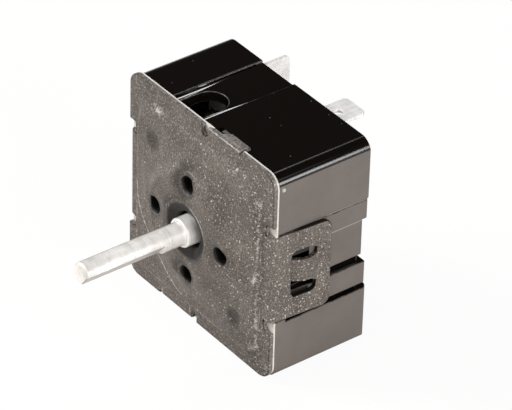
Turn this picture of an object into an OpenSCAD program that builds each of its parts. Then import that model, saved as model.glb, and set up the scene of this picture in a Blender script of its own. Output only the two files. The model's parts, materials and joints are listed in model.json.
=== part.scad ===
// Infinite switch: a push-to-turn, cycling heat control for a cooking element.
// Millimetres. The origin is the centre of the plate's mounting face, on the shaft axis.
// The shaft points to -Y, the case lies towards +Y, and +Z is up.
// The shaft is shown at OFF and not pushed.

/* [Mounting plate] */
// Width of the plate
plate_w = 46; // [44:0.5:52]
// Height of the plate
plate_h = 47.4; // [46:0.2:54]
// Thickness of the sheet steel
sheet_t = 0.95; // [0.8:0.05:1.1]
// Radius of the plate's corners
plate_corner_r = 3; // [1.5:0.5:5]
// Width of the flat rim at the sides of the raised square panel
side_rim = 3.3; // [2.6:0.1:4]
// Width of the flat rim above and below the panel
end_rim = 3.6; // [3:0.1:4.4]
// Radius of the panel's corners
panel_corner_r = 4.5; // [3:0.5:8]
// How far the panel stands ahead of the rim
panel_rise = 1.2; // [0.8:0.1:1.6]
// How far the panel's edge runs out as it rises
panel_slope = 0.6; // [0.4:0.1:0.8]
// Ledge of the panel between its edge and the foot of the round boss
boss_ledge = 0.3; // [0.1:0.1:1]
// Radius of the flat mounting face on the boss
boss_face_r = 13.6; // [13.2:0.1:15]
// How far the mounting face stands ahead of the panel
boss_rise = 2.3; // [1.6:0.1:2.8]
// How far the boss's rounded shoulders run along its face and its foot
boss_round = 1.6; // [1:0.1:2]

/* [Screw holes] */
// Diameter of the circle through the four mounting holes
hole_circle_d = 21; // [20:0.5:22]
// Radius of the tapped mounting holes
hole_r = 1.75; // [1.4:0.05:1.9]
// Radius of the rolled lip at each hole
hole_lip_r = 0.9; // [0.5:0.1:0.95]
// Depth of each drawn hole collar from the mounting face
hole_collar_depth = 2.6; // [2:0.1:3]
// Wall of each drawn hole collar
hole_collar_wall = 0.7; // [0.5:0.05:0.9]

/* [Dimples] */
// Distance of the two round dimples from the axis, across and up
dimple_offset = 13.4; // [12.5:0.1:14]
// Radius of a dimple
dimple_r = 2.4; // [1.5:0.1:2.8]
// Depth of a dimple
dimple_depth = 0.45; // [0.2:0.05:0.6]

/* [Shaft bearing] */
// Radius of the sunk well at the mounting face
well_r = 5.9; // [5.5:0.1:6.4]
// Depth of the sunk well
well_depth = 2; // [1.6:0.1:2.3]
// How much the well narrows to its floor
well_taper = 0.4; // [0.2:0.1:0.6]
// Length of the drawn bearing collar behind the well's floor
bearing_collar_l = 1.15; // [0.8:0.05:1.4]
// Wall of the drawn bearing collar
bearing_collar_wall = 0.8; // [0.5:0.05:1]
// Radial running clearance of the turning pieces
run_gap = 0.06; // [0.03:0.01:0.1]

/* [Side tabs] */
// Outside radius of the bends
bend_r = 1.4; // [1.2:0.1:1.6]
// Lower end of the side tabs
side_tab_bottom = -10; // [-11:0.2:-9]
// Upper end of the side tabs
side_tab_top = 9.8; // [8.6:0.2:10.6]
// How far the side tabs reach back from the plate's rim
side_tab_reach = 14; // [13.4:0.2:16]
// Radius of the tabs' back corners
side_tab_corner_r = 2; // [1:0.2:2.4]
// How far the side tabs spring open, in degrees
side_tab_spring = 3.6; // [0.5:0.1:4.5]
// Front edge of the window, back from the rim
window_front = 4.7; // [4.2:0.1:5.2]
// Back edge of the window, back from the rim
window_back = 10.5; // [10:0.1:11]
// Half the height of the window
window_half_h = 5.3; // [4.8:0.1:5.8]
// Width of the latch tongue
tongue_w = 5; // [4:0.2:6]
// Distance of the tongue's crease from the back end of its pocket
tongue_crease_inset = 1.3; // [0.2:0.1:1.6]
// How far the latch tongue is pressed in at its free end
tongue_set = 1.8; // [1.4:0.1:2]
// Radius of the window's corners
window_r = 1; // [0.4:0.1:1.6]
// Height of the relief notches beside the bends
notch_h = 2.4; // [1.6:0.2:2.8]
// Depth of the relief notches
notch_depth = 2.1; // [1.8:0.1:2.4]

/* [Top and bottom tabs] */
// Start of the top tab, right of the axis
edge_tab_start = 3; // [2:0.2:4]
// Length of the top tab along the edge
edge_tab_l = 9; // [7:0.2:10]
// How far the top tab reaches back from the rim
edge_tab_reach = 2.7; // [2.6:0.1:4]
// Radius of the top tab's back corner
edge_tab_corner_r = 1.1; // [0.4:0.1:1.2]
// Width of the notch beside the top tab
edge_notch_w = 1.5; // [1:0.1:2]

/* [Case] */
// How far the case's sides lie inside the plate's side edges
case_inset = 0.2; // [0.1:0.05:0.5]
// How far the case's top and bottom lie inside the plate's top and bottom edges
case_inset_z = 0.5; // [0.3:0.05:0.8]
// Thickness of the case's side walls
wall_t = 3; // [2.8:0.1:3.4]
// Thickness of the case's top and bottom walls
roof_t = 2.8; // [2.6:0.1:3.2]
// Clearance behind the bent tabs, in the case's recesses
case_gap = 0.05; // [0.05:0.05:0.2]
// Clearance around the bent tabs, in the case's recesses
recess_gap = 0.2; // [0.1:0.05:0.3]
// Depth of the case at its middle, from the insulating sheet
case_depth = 20.5; // [20.3:0.1:22.5]
// Thickness of the back wall at the middle
back_wall_t = 1.65; // [1.4:0.05:2]
// Radius of the case's upper long edges
case_top_r = 3; // [2:0.2:3.6]
// Radius of the case's lower long edges
case_bottom_r = 1.4; // [0.8:0.2:2]
// Radius of the case's back upright edges
case_back_r = 1.6; // [0.8:0.2:2]
// How far the upper back block stands out
upper_block_rise = 1.4; // [0.9:0.1:1.8]
// How far the lower back block stands out
lower_block_rise = 2.1; // [1.6:0.1:2.8]
// How far the side rib stands out at the back
rib_rise = 1; // [0.6:0.1:1.5]
// Bottom of the upper block
upper_block_z = 10; // [9.6:0.1:10.8]
// Top of the lower block
lower_block_z = -10.9; // [-11.6:0.1:-10.6]
// Height of the side ledge below the upper block
side_ledge_z = 5.6; // [5:0.1:6.4]
// Top of the side rib
rib_top_z = -4.5; // [-5.2:0.1:-4]
// Bottom of the side rib
rib_bottom_z = -9.6; // [-10:0.1:-9]
// Height of the groove above the side rib
groove_h = 2; // [1.2:0.1:2.3]
// Depth of the side grooves
groove_depth = 1.2; // [0.9:0.1:1.5]
// Distance of the grooves' front ends from the case's front edge
groove_start = 2.6; // [2:0.2:6]
// Height of each small side step
side_step = 0.15; // [0.1:0.05:0.25]

/* [Case top] */
// How far the channel in the top reaches left of the opening's middle
channel_left = 5.2; // [4.4:0.1:6]
// How far the channel reaches right of the opening's middle
channel_right = 4.9; // [4.4:0.1:6]
// Depth of the channel
channel_depth = 0.5; // [0.3:0.05:0.8]
// Distance of the U-shaped opening's middle from the case's left side
slot_inset = 16.8; // [16.4:0.1:17.2]
// Width of the U-shaped opening
slot_w = 7.2; // [6:0.1:7.6]
// How far the opening reaches back from the plate
slot_reach = 9.25; // [8.5:0.25:10]

/* [Latch pockets] */
// Half the height of a latch pocket
pocket_half_h = 3.6; // [3.4:0.1:4.4]
// Clearance between the tongue's end and the pocket's front wall
pocket_gap = 0.2; // [0.1:0.05:0.4]
// Length of a latch pocket, front to back
pocket_l = 4.8; // [4.6:0.1:5.2]
// Depth of a latch pocket behind the side tab's recess
pocket_depth = 2.2; // [2.1:0.1:2.4]
// Wall behind a latch pocket
pocket_wall = 1; // [0.8:0.1:1.2]
// Rim of the wall around a latch pocket
pad_rim = 1.2; // [0.8:0.1:1.4]

/* [Shaft] */
// Radius of the shaft
shaft_r = 2.38; // [2:0.01:3]
// How far the shaft stands ahead of the mounting face
shaft_out = 24.2; // [18:0.2:32]
// Distance of the knob flat from the axis
flat_d = 1.59; // [1.2:0.01:1.9]
// Length of the full round stretch ahead of the shoulder
round_l = 4.9; // [2:0.1:8]
// Direction of the knob flat about the axis, in degrees
flat_angle = -38; // [-90:1:90]
// Chamfer at the shaft's tip
tip_chamfer = 0.35; // [0.1:0.05:0.6]
// Radius of the shoulder
shoulder_r = 3.55; // [3.3:0.05:3.8]
// How far the shoulder stands ahead of the mounting face
shoulder_out = 1.3; // [0.6:0.1:2]
// Radius of the drive stretch inside the cam
drive_r = 2.9; // [2.6:0.05:3.1]
// Distance of the drive flat from the axis
drive_flat_d = 2.1; // [1.8:0.05:2.3]
// Radius of the back journal
journal_r = 1.6; // [1.2:0.05:1.9]
// Travel of the push
push_travel = 2; // [1.2:0.1:2.2]

/* [Washer, ring and spring] */
// Thickness of the thrust washer
washer_t = 0.5; // [0.3:0.05:0.6]
// Radius of the thrust washer
washer_r = 5.3; // [5:0.1:5.6]
// Thickness of the retaining ring
ring_t = 0.8; // [0.6:0.05:0.9]
// Radius of the retaining ring
ring_r = 5; // [4.8:0.1:5.4]
// Radius of the ring groove in the shoulder
ring_groove_r = 2.95; // [2.8:0.05:3.05]
// Radius of the spring wire
wire_r = 0.25; // [0.2:0.01:0.28]
// Mean radius of the return spring
spring_r = 4.2; // [4.15:0.05:4.4]
// Turns of the return spring
spring_turns = 3; // [2:0.5:3]

/* [Cam] */
// Front face of the cam, behind the mounting face
cam_front = 9.7; // [9.5:0.1:10]
// Radius of the cam's hub
cam_hub_r = 7.4; // [6.5:0.1:7.8]
// Lowest radius of the control track
control_low_r = 8.8; // [8.4:0.1:9]
// Rise of the control track over one turn
control_rise = 0.8; // [0.4:0.05:1]
// Drop of the OFF seat in the control track
off_drop = 0.5; // [0.2:0.05:0.6]
// Share of a turn from the middle of the OFF seat to the start of the rise
off_share = 0.04; // [0.02:0.01:0.08]
// Thickness of the control track
control_t = 2.4; // [2:0.1:2.6]
// Radius of the two switching tracks
track_r = 8.2; // [7.9:0.1:8.4]
// Height of the lobe on a switching track
lobe_h = 0.8; // [0.5:0.05:0.9]
// Half the angle that a lobe spans
lobe_half_angle = 14; // [8:1:20]
// Angle of the ramp at each side of a lobe
lobe_ramp = 8; // [4:1:16]
// Thickness of a switching track
track_t = 1.6; // [1.2:0.1:1.8]
// Step between neighbouring tracks
track_gap = 0.5; // [0.3:0.1:0.6]
// Radius of the cam's back spigot
spigot_r = 4; // [3.8:0.1:4.4]
// Length of the cam's back spigot
spigot_l = 1.7; // [1.2:0.1:2]
// End clearance between the moving pieces
end_gap = 0.25; // [0.15:0.05:0.3]
// Wall of the bearing boss in the case
boss_wall = 1.5; // [1:0.1:1.8]

/* [Follower lever] */
// Distance of the lever's pivot from the case's side wall
pivot_inset = 3.7; // [3.5:0.1:4.2]
// Gap between the lever's nose and the cam's highest radius
nose_gap = 0.25; // [0.2:0.05:0.4]
// Radius of the lever's nose
nose_r = 1.2; // [0.8:0.1:1.4]
// Height of the lever's bar
bar_h = 2.2; // [1.8:0.1:2.6]
// How far the lever's bar runs past the axis
bar_over = 3; // [2:0.1:4]
// Radius of the lever's hub
hub_r = 2.6; // [2.2:0.1:2.8]
// Radius of the pivot pin
pin_r = 1.2; // [0.9:0.05:1.4]
// Radius of the pivot pin's head
pin_head_r = 2; // [1.6:0.1:2.3]
// Thickness of the pivot pin's head
pin_head_t = 0.6; // [0.4:0.05:0.8]
// Wall of the pivot pin's boss in the case
pin_boss_wall = 1; // [0.8:0.1:1.2]
// Depth of the pivot pin's seat in the case
pin_seat_l = 5.6; // [4:0.1:6]
// Height of the foot under the strip
foot_h = 3.4; // [3.2:0.1:3.6]
// Length of the foot along the lever
foot_l = 3.6; // [3.2:0.1:4]

/* [Bimetal strip and heater] */
// Thickness of the bimetal strip
strip_t = 0.6; // [0.4:0.05:0.8]
// Width of the bimetal strip
strip_w = 4.4; // [3.8:0.1:4.8]
// Free end of the strip, right of the axis
strip_end = 12.2; // [11.8:0.1:13]
// Gap between the calibration screw's head and the heater card
card_gap = 0.7; // [0.3:0.1:1.3]
// Gap between the heater card and the contact of the snap blade
card_end_gap = 1.7; // [1:0.1:3.5]
// Thickness of the heater card's wall
card_t = 0.5; // [0.3:0.05:0.6]
// Turns of the heater winding
heater_turns = 6; // [3:1:7]
// Radius of the heater wire
heater_wire_r = 0.22; // [0.15:0.01:0.25]
// Radius of the calibration screw
screw_r = 1.2; // [0.9:0.05:1.4]
// Radius of the calibration screw's head
screw_head_r = 1.9; // [1.6:0.1:2.1]
// Thickness of the calibration screw's head
screw_head_t = 1.2; // [0.8:0.1:1.3]
// Radius of the ceramic button under the strip
button_r = 1; // [0.7:0.05:1.2]
// Height of the ceramic button
button_h = 2.6; // [2.5:0.05:2.8]

/* [Terminals] */
// Width of a quick-connect tab
tab_w = 6.35; // [6:0.05:6.6]
// Thickness of a tab and of the strips inside
tab_t = 0.8; // [0.6:0.05:0.85]
// Back end of the tabs, behind the mounting face
tab_end = 35; // [34:0.25:37]
// Radius of the hole in a tab
tab_hole_r = 0.9; // [0.6:0.05:1]
// Distance of the hole from the tab's end
tab_hole_inset = 4.4; // [3.8:0.1:5]
// Chamfer at a tab's corners
tab_chamfer = 0.7; // [0.4:0.1:1.2]
// Clearance around a tab in its slot
slot_gap = 0.1; // [0.05:0.05:0.2]
// Distance of the flat tabs' middle from the case's right inner wall
flat_tab_inset = 12.1; // [11.6:0.1:12.8]
// Distance of the upright tabs from the case's left inner wall
upright_tab_inset = 6.3; // [5.8:0.1:6.6]
// Height of the upper flat tab below the case's ceiling
upper_tab_drop = 0.8; // [0.7:0.05:1.1]
// Height of the lower flat tab above the case's floor
lower_tab_rise = 5.2; // [4.4:0.1:6]
// Height of the lower upright tab's edge above the case's floor
upright_tab_rise = 3.2; // [2.6:0.1:4]
// Distance of the snap terminal's leg from the case's side wall
leg_inset = 1.6; // [1.4:0.1:1.8]
// Gap between the case's ceiling and the bar that runs behind the bimetal strip
bus_drop = 1.85; // [1.65:0.05:2.65]

/* [Contacts] */
// Thickness of the contact blades
blade_t = 0.35; // [0.2:0.05:0.4]
// Width of the contact blades
blade_w = 4; // [3.4:0.1:4.2]
// Radius of a contact button
contact_r = 1.2; // [0.8:0.05:1.3]
// Thickness of a contact button
contact_t = 0.5; // [0.3:0.05:0.6]
// Open gap between two contacts at OFF
contact_gap = 0.6; // [0.4:0.05:0.8]
// Gap between a blade's bump and the cam's lobe
bump_gap = 0.3; // [0.2:0.05:0.4]
// Radius of the bump pressed in a blade
bump_r = 1.2; // [0.8:0.1:1.4]
// Height of the pilot blade's bump
bump_h = 0.75; // [0.65:0.05:1.1]
// Width of the snap blade's sprung tongue
snap_tongue_w = 1.4; // [1:0.1:1.8]
// Middle of the snap contact, right of the axis
snap_contact_x = 7.5; // [7:0.1:8]
// Distance of the snap blade's rivet from the case's side wall
snap_rivet_inset = 3.8; // [3.6:0.1:4]
// Middle of the line contact, right of the axis
line_contact_x = 13; // [12.6:0.1:13.4]
// Height of the pilot blade's rivet above the axis
pilot_rivet_z = 6.9; // [6.5:0.1:7.2]
// Radius of the rivets
rivet_r = 0.8; // [0.5:0.05:0.95]
// Radius of the rivets' heads
rivet_head_r = 1.4; // [1.1:0.05:1.5]
// Thickness of the rivets' heads
rivet_head_t = 0.45; // [0.3:0.05:0.5]

/* [Insulator] */
// Thickness of the insulating sheet
insulator_t = 0.4; // [0.3:0.05:0.5]
// How far the sheet's edge lies inside the plate's
insulator_inset = 0.1; // [0.05:0.05:0.3]
// Radius of the sheet's middle hole
insulator_hole_r = 6; // [5.8:0.1:6.6]

/* [Hidden] */
$fn = 64;
// A hair's overlap where two shapes join
eps = 0.01;
// How far a cut runs past the face that it opens
over = 1;
// Clearance of a pin or rivet in a hole that it does not turn in
seat_fit = 0.02;
// End play of the washer and the ring
play = 0.05;
// Clearance inside the plate's bends
bend_gap = 0.1;
// Number of sides of a bent wire
wire_sides = 8;

// Plate levels, from the mounting face back
panel_w = plate_w - 2 * side_rim;
panel_h = plate_h - 2 * end_rim;
boss_base_r = min(panel_w, panel_h) / 2 - panel_slope - boss_ledge;
panel_y = boss_rise;
rim_y = panel_y + panel_rise;
plate_back_y = rim_y + sheet_t;
case_y = plate_back_y + insulator_t;
well_floor_y = well_depth;
collar_end_y = well_floor_y + sheet_t + bearing_collar_l;
bearing_r = shoulder_r + run_gap;

// Case
case_w = plate_w - 2 * case_inset;
case_h = plate_h - 2 * case_inset_z;
slot_x = -case_w / 2 + slot_inset;
cave_x = case_w / 2 - wall_t;
cave_z = case_h / 2 - roof_t;
case_back_y = case_y + case_depth;
cave_back_y = case_back_y - back_wall_t;
upper_back_y = case_back_y + upper_block_rise;
lower_back_y = case_back_y + lower_block_rise;
bend_relief = bend_r - sheet_t + bend_gap;
recess_x = plate_w / 2 - sheet_t - case_gap;
recess_z = plate_h / 2 - sheet_t - case_gap;
pad_t = pocket_depth + pocket_wall - (recess_x - cave_x);
pocket_y = rim_y + window_front - pocket_gap;

// Shaft train, front to back
washer_y = collar_end_y + play;
ring_y = washer_y + washer_t + play;
spring_front_y = ring_y + ring_t;
shoulder_end_y = cam_front - push_travel - 0.6;
control_y = cam_front + 0.4;
line_track_y = control_y + control_t + track_gap;
pilot_track_y = line_track_y + track_t + track_gap;
cam_back_y = pilot_track_y + track_t + 0.4;
cave_boss_y = cam_back_y + end_gap;
spigot_floor_y = cam_back_y + spigot_l + end_gap;
drive_end_y = spigot_floor_y - push_travel - 0.1;
journal_end_y = cave_back_y - 1.2;
journal_floor_y = journal_end_y + push_travel + 0.2;
control_high_r = control_low_r + control_rise;
lobe_r = track_r + lobe_h;

// Follower lever and what it carries
lever_mid_y = control_y + control_t / 2;
pin_seat_y = control_y + control_t + end_gap;
nose_z = control_high_r + nose_gap + nose_r;
bar_z = nose_z - 0.2;
bar_top_z = bar_z + bar_h;
pivot_x = -cave_x + pivot_inset;
pivot_z = bar_z + bar_h / 2;
strip_z = bar_top_z + foot_h;
strip_top_z = strip_z + strip_t;
foot_x = pivot_x + hub_r + 0.9;
strip_start_x = foot_x - 0.3;
foot_rivet_x = foot_x + foot_l / 2;
screw_x = slot_x;
card_start = screw_x + screw_head_r + card_gap;
card_l = snap_contact_x - contact_r - card_end_gap - card_start;
button_x = strip_end - button_r - 0.4;

// Snap blade, under the strip's free end
snap_top_z = strip_z - button_h - 0.1;
snap_z = snap_top_z - blade_t;
snap_start_x = snap_contact_x - contact_r - 0.3;
snap_fixed_z = snap_top_z + 2 * contact_t + contact_gap;
snap_rivet_x = cave_x - snap_rivet_inset;
snap_leg_x = cave_x - leg_inset;

// Terminals
flat_tab_x = cave_x - flat_tab_inset;
upright_tab_x = cave_x - upright_tab_inset;
pilot_tab_x = lobe_r + bump_gap + bump_h + blade_t + tab_t / 2;
upper_tab_z = cave_z - upper_tab_drop;
lower_tab_z = -cave_z + lower_tab_rise;
upright_upper_z = cave_z - 0.2 - tab_w / 2;
upright_lower_z = -cave_z + upright_tab_rise + tab_w / 2;
bus_y = pilot_track_y + 0.6;
bus_end_x = snap_contact_x + contact_r + 0.4;

// Line blade, under the cam
line_mid_y = line_track_y + track_t / 2;
line_top_z = -(control_high_r + 0.4);
line_z = line_top_z - blade_t;
line_foot_z = line_z - tab_t / 2;
line_rivet_x = -upright_tab_x + tab_t / 2 + rivet_head_r + 0.8;
line_fixed_z = line_top_z + 2 * contact_t + contact_gap;
line_leg_x = line_contact_x + contact_r + 2;

// Pilot blade, left of the cam
pilot_mid_y = pilot_track_y + track_t / 2 + 0.4;
pilot_face_x = -pilot_tab_x + tab_t / 2;
pilot_front_x = pilot_face_x + blade_t;
pilot_contact_r = contact_r - 0.3;
pilot_contact_z = line_top_z + pilot_contact_r + 1.2;
pilot_fixed_x = pilot_front_x + 2 * contact_t + contact_gap;
upstand_y = line_mid_y + blade_w / 2 + 0.3;
upstand_l = 2.6;
pilot_contact_y = upstand_y + upstand_l / 2;

// Colours
steel_col = "#8A837C";
black_col = "#1A1715";
bright_col = "#D9D6D0";
copper_col = "#B87444";
brass_col = "#C2A15A";
silver_col = "#C9CCD0";
cream_col = "#D8CFB8";
paper_col = "#E8E5DE";

// A flat drawing of X and Z, run along Y
module along_y(y0, y1) {
    translate([0, y1, 0])
        rotate([90, 0, 0])
            linear_extrude(y1 - y0)
                children();
}

// A flat drawing of Y and Z, run along X
module along_x(x0, x1) {
    translate([x0, 0, 0])
        rotate([90, 0, 90])
            linear_extrude(x1 - x0)
                children();
}

// A profile of radius and Y, turned about the Y axis
module turned(points) {
    rotate([-90, 0, 0])
        rotate_extrude()
            polygon(points);
}

// A round rod along Y
module rod(r, y0, y1, x = 0, z = 0) {
    translate([x, y0, z])
        rotate([-90, 0, 0])
            cylinder(h = y1 - y0, r = r);
}

// A round rod along Z
module post(r, z0, z1, x, y) {
    translate([x, y, z0])
        cylinder(h = z1 - z0, r = r);
}

// A round rod along X
module bar_x(r, x0, x1, y, z) {
    translate([x0, y, z])
        rotate([0, 90, 0])
            cylinder(h = x1 - x0, r = r);
}

// A box from one corner to the other
module box(low, high) {
    translate(low)
        cube(high - low);
}

// A rectangle with one radius on its upper corners and one on its lower corners
module rounded_rect(w, h, top_r, bottom_r) {
    for (side = [-1, 1]) {
        translate([side * (w / 2 - top_r), h / 2 - top_r])
            circle(top_r);
        translate([side * (w / 2 - bottom_r), -h / 2 + bottom_r])
            circle(bottom_r);
    }
    side_h = h - top_r - bottom_r;
    translate([-w / 2, -h / 2 + bottom_r])
        square([w, side_h]);
    translate([-w / 2 + top_r, h / 2 - top_r - eps])
        square([w - 2 * top_r, top_r + eps]);
    translate([-w / 2 + bottom_r, -h / 2])
        square([w - 2 * bottom_r, bottom_r + eps]);
}

// A strip of even thickness along a bent line, with rounded bends
module bent_strip(points, t) {
    for (i = [0 : len(points) - 2]) {
        run = points[i + 1] - points[i];
        translate(points[i])
            rotate(atan2(run[1], run[0]))
                translate([0, -t / 2])
                    square([norm(run), t]);
    }
    for (i = [1 : len(points) - 2])
        translate(points[i])
            circle(t / 2, $fn = 32);
}

// A circle with one flat, its flat facing +X
module d_section(r, flat) {
    intersection() {
        circle(r);
        translate([-2 * r, -2 * r])
            square([2 * r + flat, 4 * r]);
    }
}

// A D section along Y, turned to the direction of the knob flat
module d_rod(r, flat, y0, y1) {
    along_y(y0, y1)
        rotate(flat_angle)
            d_section(r, flat);
}

// A round wire swept along a line of points
function unit(v) = v / norm(v);
function tangent(points, i) =
    unit(points[min(i + 1, len(points) - 1)] - points[max(i - 1, 0)]);
function wire_ring(p, dir, r, side) =
    let (a = unit(cross(dir, side)), b = cross(a, dir))
    [for (k = [0 : wire_sides - 1])
        p + r * (cos(k * 360 / wire_sides) * a + sin(k * 360 / wire_sides) * b)];

module wire(points, r, side) {
    n = len(points);
    rings = [for (i = [0 : n - 1]) each wire_ring(points[i], tangent(points, i), r, side)];
    walls = [for (i = [0 : n - 2], k = [0 : wire_sides - 1])
        let (a = i * wire_sides + k, b = i * wire_sides + (k + 1) % wire_sides)
        [a, a + wire_sides, b + wire_sides, b]];
    start = [for (k = [0 : wire_sides - 1]) k];
    end = [for (k = [wire_sides - 1 : -1 : 0]) (n - 1) * wire_sides + k];
    polyhedron(points = rings, faces = concat(walls, [start], [end]));
}

// Pressed form of the plate from its front: panel, and the round boss on it
module pressed_form() {
    far = rim_y + 2 * sheet_t;
    hull()
        for (x = [-1, 1], z = [-1, 1]) {
            cx = x * (panel_w / 2 - panel_corner_r);
            cz = z * (panel_h / 2 - panel_corner_r);
            translate([cx, 0, cz]) {
                translate([0, panel_y, 0])
                    rotate([-90, 0, 0])
                        cylinder(h = panel_rise, r1 = panel_corner_r - panel_slope,
                            r2 = panel_corner_r, $fn = 32);
                rod(panel_corner_r, rim_y, far, $fn = 32);
            }
        }
    drop = boss_rise * 0.15;
    turned([[0, 0], [boss_face_r - boss_round, 0], [boss_face_r, drop],
        [boss_base_r - boss_round, boss_rise - drop], [boss_base_r, boss_rise],
        [boss_base_r, panel_y + eps], [0, panel_y + eps]]);
}

// Outline of the flat rim, with its bends and relief notches cut away
module rim_outline() {
    side_h = side_tab_top - side_tab_bottom;
    difference() {
        rounded_rect(plate_w, plate_h, plate_corner_r, plate_corner_r);
        for (side = [0, 1])
            mirror([side, 0]) {
                translate([plate_w / 2 - bend_r, side_tab_bottom])
                    square([bend_r + over, side_h]);
                translate([plate_w / 2 - notch_depth, side_tab_top])
                    square([notch_depth + over, notch_h]);
                translate([plate_w / 2 - notch_depth, side_tab_bottom - notch_h])
                    square([notch_depth + over, notch_h]);
            }
        for (turn = [0, 180])
            rotate(turn) {
                translate([edge_tab_start, plate_h / 2 - bend_r])
                    square([edge_tab_l, bend_r + over]);
                translate([edge_tab_start - edge_notch_w, plate_h / 2 - notch_depth])
                    square([edge_notch_w, notch_depth + over]);
            }
    }
}

// Points of an arc about the origin, from one angle to another
function arc(r, from, to, steps = 12) =
    [for (i = [0 : steps])
        let (a = from + (to - from) * i / steps)
        r * [cos(a), sin(a)]];

// What is cut from a side tab, in Y and Z: its window and the corners of its back end
module side_tab_cuts() {
    reach = side_tab_reach - bend_r;
    r = side_tab_corner_r;
    translate([(window_front + window_back) / 2 - bend_r, 0])
        rounded_rect(window_back - window_front, 2 * window_half_h, window_r, window_r);
    for (top = [0, 1])
        translate([reach - r, top ? side_tab_top - r : side_tab_bottom + r])
            mirror([0, 1 - top])
                difference() {
                    square(r + over);
                    circle(r);
                }
}

// Outline of the latch tongue in X and Y: flat out of the tab, then creased inwards
module tongue_outline() {
    lead = 0.3;
    root = window_back - bend_r + lead;
    crease = pocket_y + pocket_l - tongue_crease_inset - rim_y - bend_r;
    run = crease - (window_front - bend_r);
    lean = atan2(tongue_set, run);
    tip_l = (run - sheet_t * sin(lean)) / cos(lean);
    tip = [-tip_l * sin(lean), crease - tip_l * cos(lean)];
    polygon([[0, root], [sheet_t, root], [sheet_t, crease - sheet_t * tan(lean / 2)],
        tip + sheet_t * [cos(lean), -sin(lean)], tip, [0, crease]]);
}

// One side tab: bend, flat tab and latch tongue, for the right-hand side
module side_tab() {
    inner = bend_r - sheet_t;
    lead = 0.5;
    along = (side_tab_reach - bend_r) * [sin(side_tab_spring), cos(side_tab_spring)];
    out = [cos(side_tab_spring), -sin(side_tab_spring)];
    translate([plate_w / 2 - bend_r, rim_y + bend_r, 0]) {
        difference() {
            translate([0, 0, side_tab_bottom])
                linear_extrude(side_tab_top - side_tab_bottom)
                    polygon(concat([[-lead, -bend_r]], arc(bend_r, -90, -side_tab_spring),
                        [along + bend_r * out, along + inner * out],
                        arc(inner, -side_tab_spring, -90), [[-lead, -inner]]));
            rotate([0, 0, -side_tab_spring])
                along_x(-bend_r, 2 * bend_r)
                    side_tab_cuts();
        }
        rotate([0, 0, -side_tab_spring])
            translate([inner, 0, -tongue_w / 2])
                linear_extrude(tongue_w)
                    tongue_outline();
    }
}

// The top tab: bend and a short flat tab
module edge_tab() {
    corner_r = edge_tab_corner_r;
    reach = edge_tab_reach - bend_r;
    translate([edge_tab_start, rim_y + bend_r, plate_h / 2 - bend_r]) {
        rotate([0, 90, 0])
            rotate([0, 0, -180])
                rotate_extrude(angle = 90)
                    translate([bend_r - sheet_t, 0])
                        square([sheet_t, edge_tab_l]);
        translate([0, 0, bend_r - sheet_t])
            linear_extrude(sheet_t) {
                translate([0, -eps])
                    square([edge_tab_l, reach - corner_r + eps]);
                translate([corner_r, reach - corner_r - eps])
                    square([edge_tab_l - corner_r, corner_r + eps]);
                translate([corner_r, reach - corner_r])
                    circle(corner_r, $fn = 32);
            }
    }
}

// Profile of the sunk well and its drawn bearing collar, radius and Y
function well_profile() = let (
    floor_r = well_r - well_taper,
    back_y = well_floor_y + sheet_t,
    outer = well_r + sheet_t * 0.8,
    lip = 0.3)
    [[outer + 0.4, 0], [well_r + lip, 0], [well_r, lip], [floor_r, well_floor_y],
        [bearing_r + lip, well_floor_y], [bearing_r, well_floor_y + lip],
        [bearing_r, collar_end_y], [bearing_r + bearing_collar_wall, collar_end_y],
        [bearing_r + bearing_collar_wall, back_y],
        [floor_r + sheet_t * 0.8, back_y], [outer, sheet_t], [outer + 0.4, sheet_t]];

// Profile of the round cut that makes a drawn hole with a rolled lip
function drawn_hole_profile() = concat(
    [[0, -over], [hole_r + hole_lip_r, -over]],
    [for (a = [0 : 15 : 90])
        [hole_r + hole_lip_r * (1 - sin(a)), hole_lip_r * (1 - cos(a))]],
    [[hole_r, hole_collar_depth + over], [0, hole_collar_depth + over]]);

module at_screw_holes() {
    for (a = [0 : 90 : 270])
        rotate([0, a, 0])
            translate([hole_circle_d / 2, 0, 0])
                children();
}

module mounting_plate() {
    dimple_ball_r = (pow(dimple_r, 2) + pow(dimple_depth, 2)) / (2 * dimple_depth);
    dimple_y = panel_y - 0.2;
    color(steel_col)
        difference() {
            union() {
                difference() {
                    union() {
                        along_y(rim_y, plate_back_y)
                            rim_outline();
                        intersection() {
                            pressed_form();
                            rod(plate_w, -over, plate_back_y);
                        }
                    }
                    translate([0, sheet_t, 0])
                        pressed_form();
                    rod(well_r + sheet_t * 0.8, -over, rim_y);
                }
                turned(well_profile());
                at_screw_holes()
                    rod(hole_r + hole_collar_wall, sheet_t / 2, hole_collar_depth);
                for (side = [0, 1])
                    mirror([side, 0, 0])
                        side_tab();
                for (turn = [0, 180])
                    rotate([0, turn, 0])
                        edge_tab();
            }
            at_screw_holes()
                turned(drawn_hole_profile());
            for (side = [-1, 1])
                translate([-side * dimple_offset, dimple_y - dimple_ball_r + dimple_depth,
                    side * dimple_offset])
                    sphere(dimple_ball_r);
        }
}

// The back of the case seen from the side: two blocks, a rib and the steps between
module case_side_outline() {
    half = case_h / 2;
    rib_y = case_back_y + rib_rise;
    polygon([[case_y, -half], [lower_back_y, -half], [lower_back_y, lower_block_z],
        [case_back_y, lower_block_z], [case_back_y, rib_bottom_z], [rib_y, rib_bottom_z],
        [rib_y, rib_top_z], [case_back_y, rib_top_z], [case_back_y, side_ledge_z],
        [upper_back_y - 0.4, side_ledge_z], [upper_back_y - 0.4, upper_block_z],
        [upper_back_y, upper_block_z], [upper_back_y, half], [case_y, half]]);
}

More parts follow.
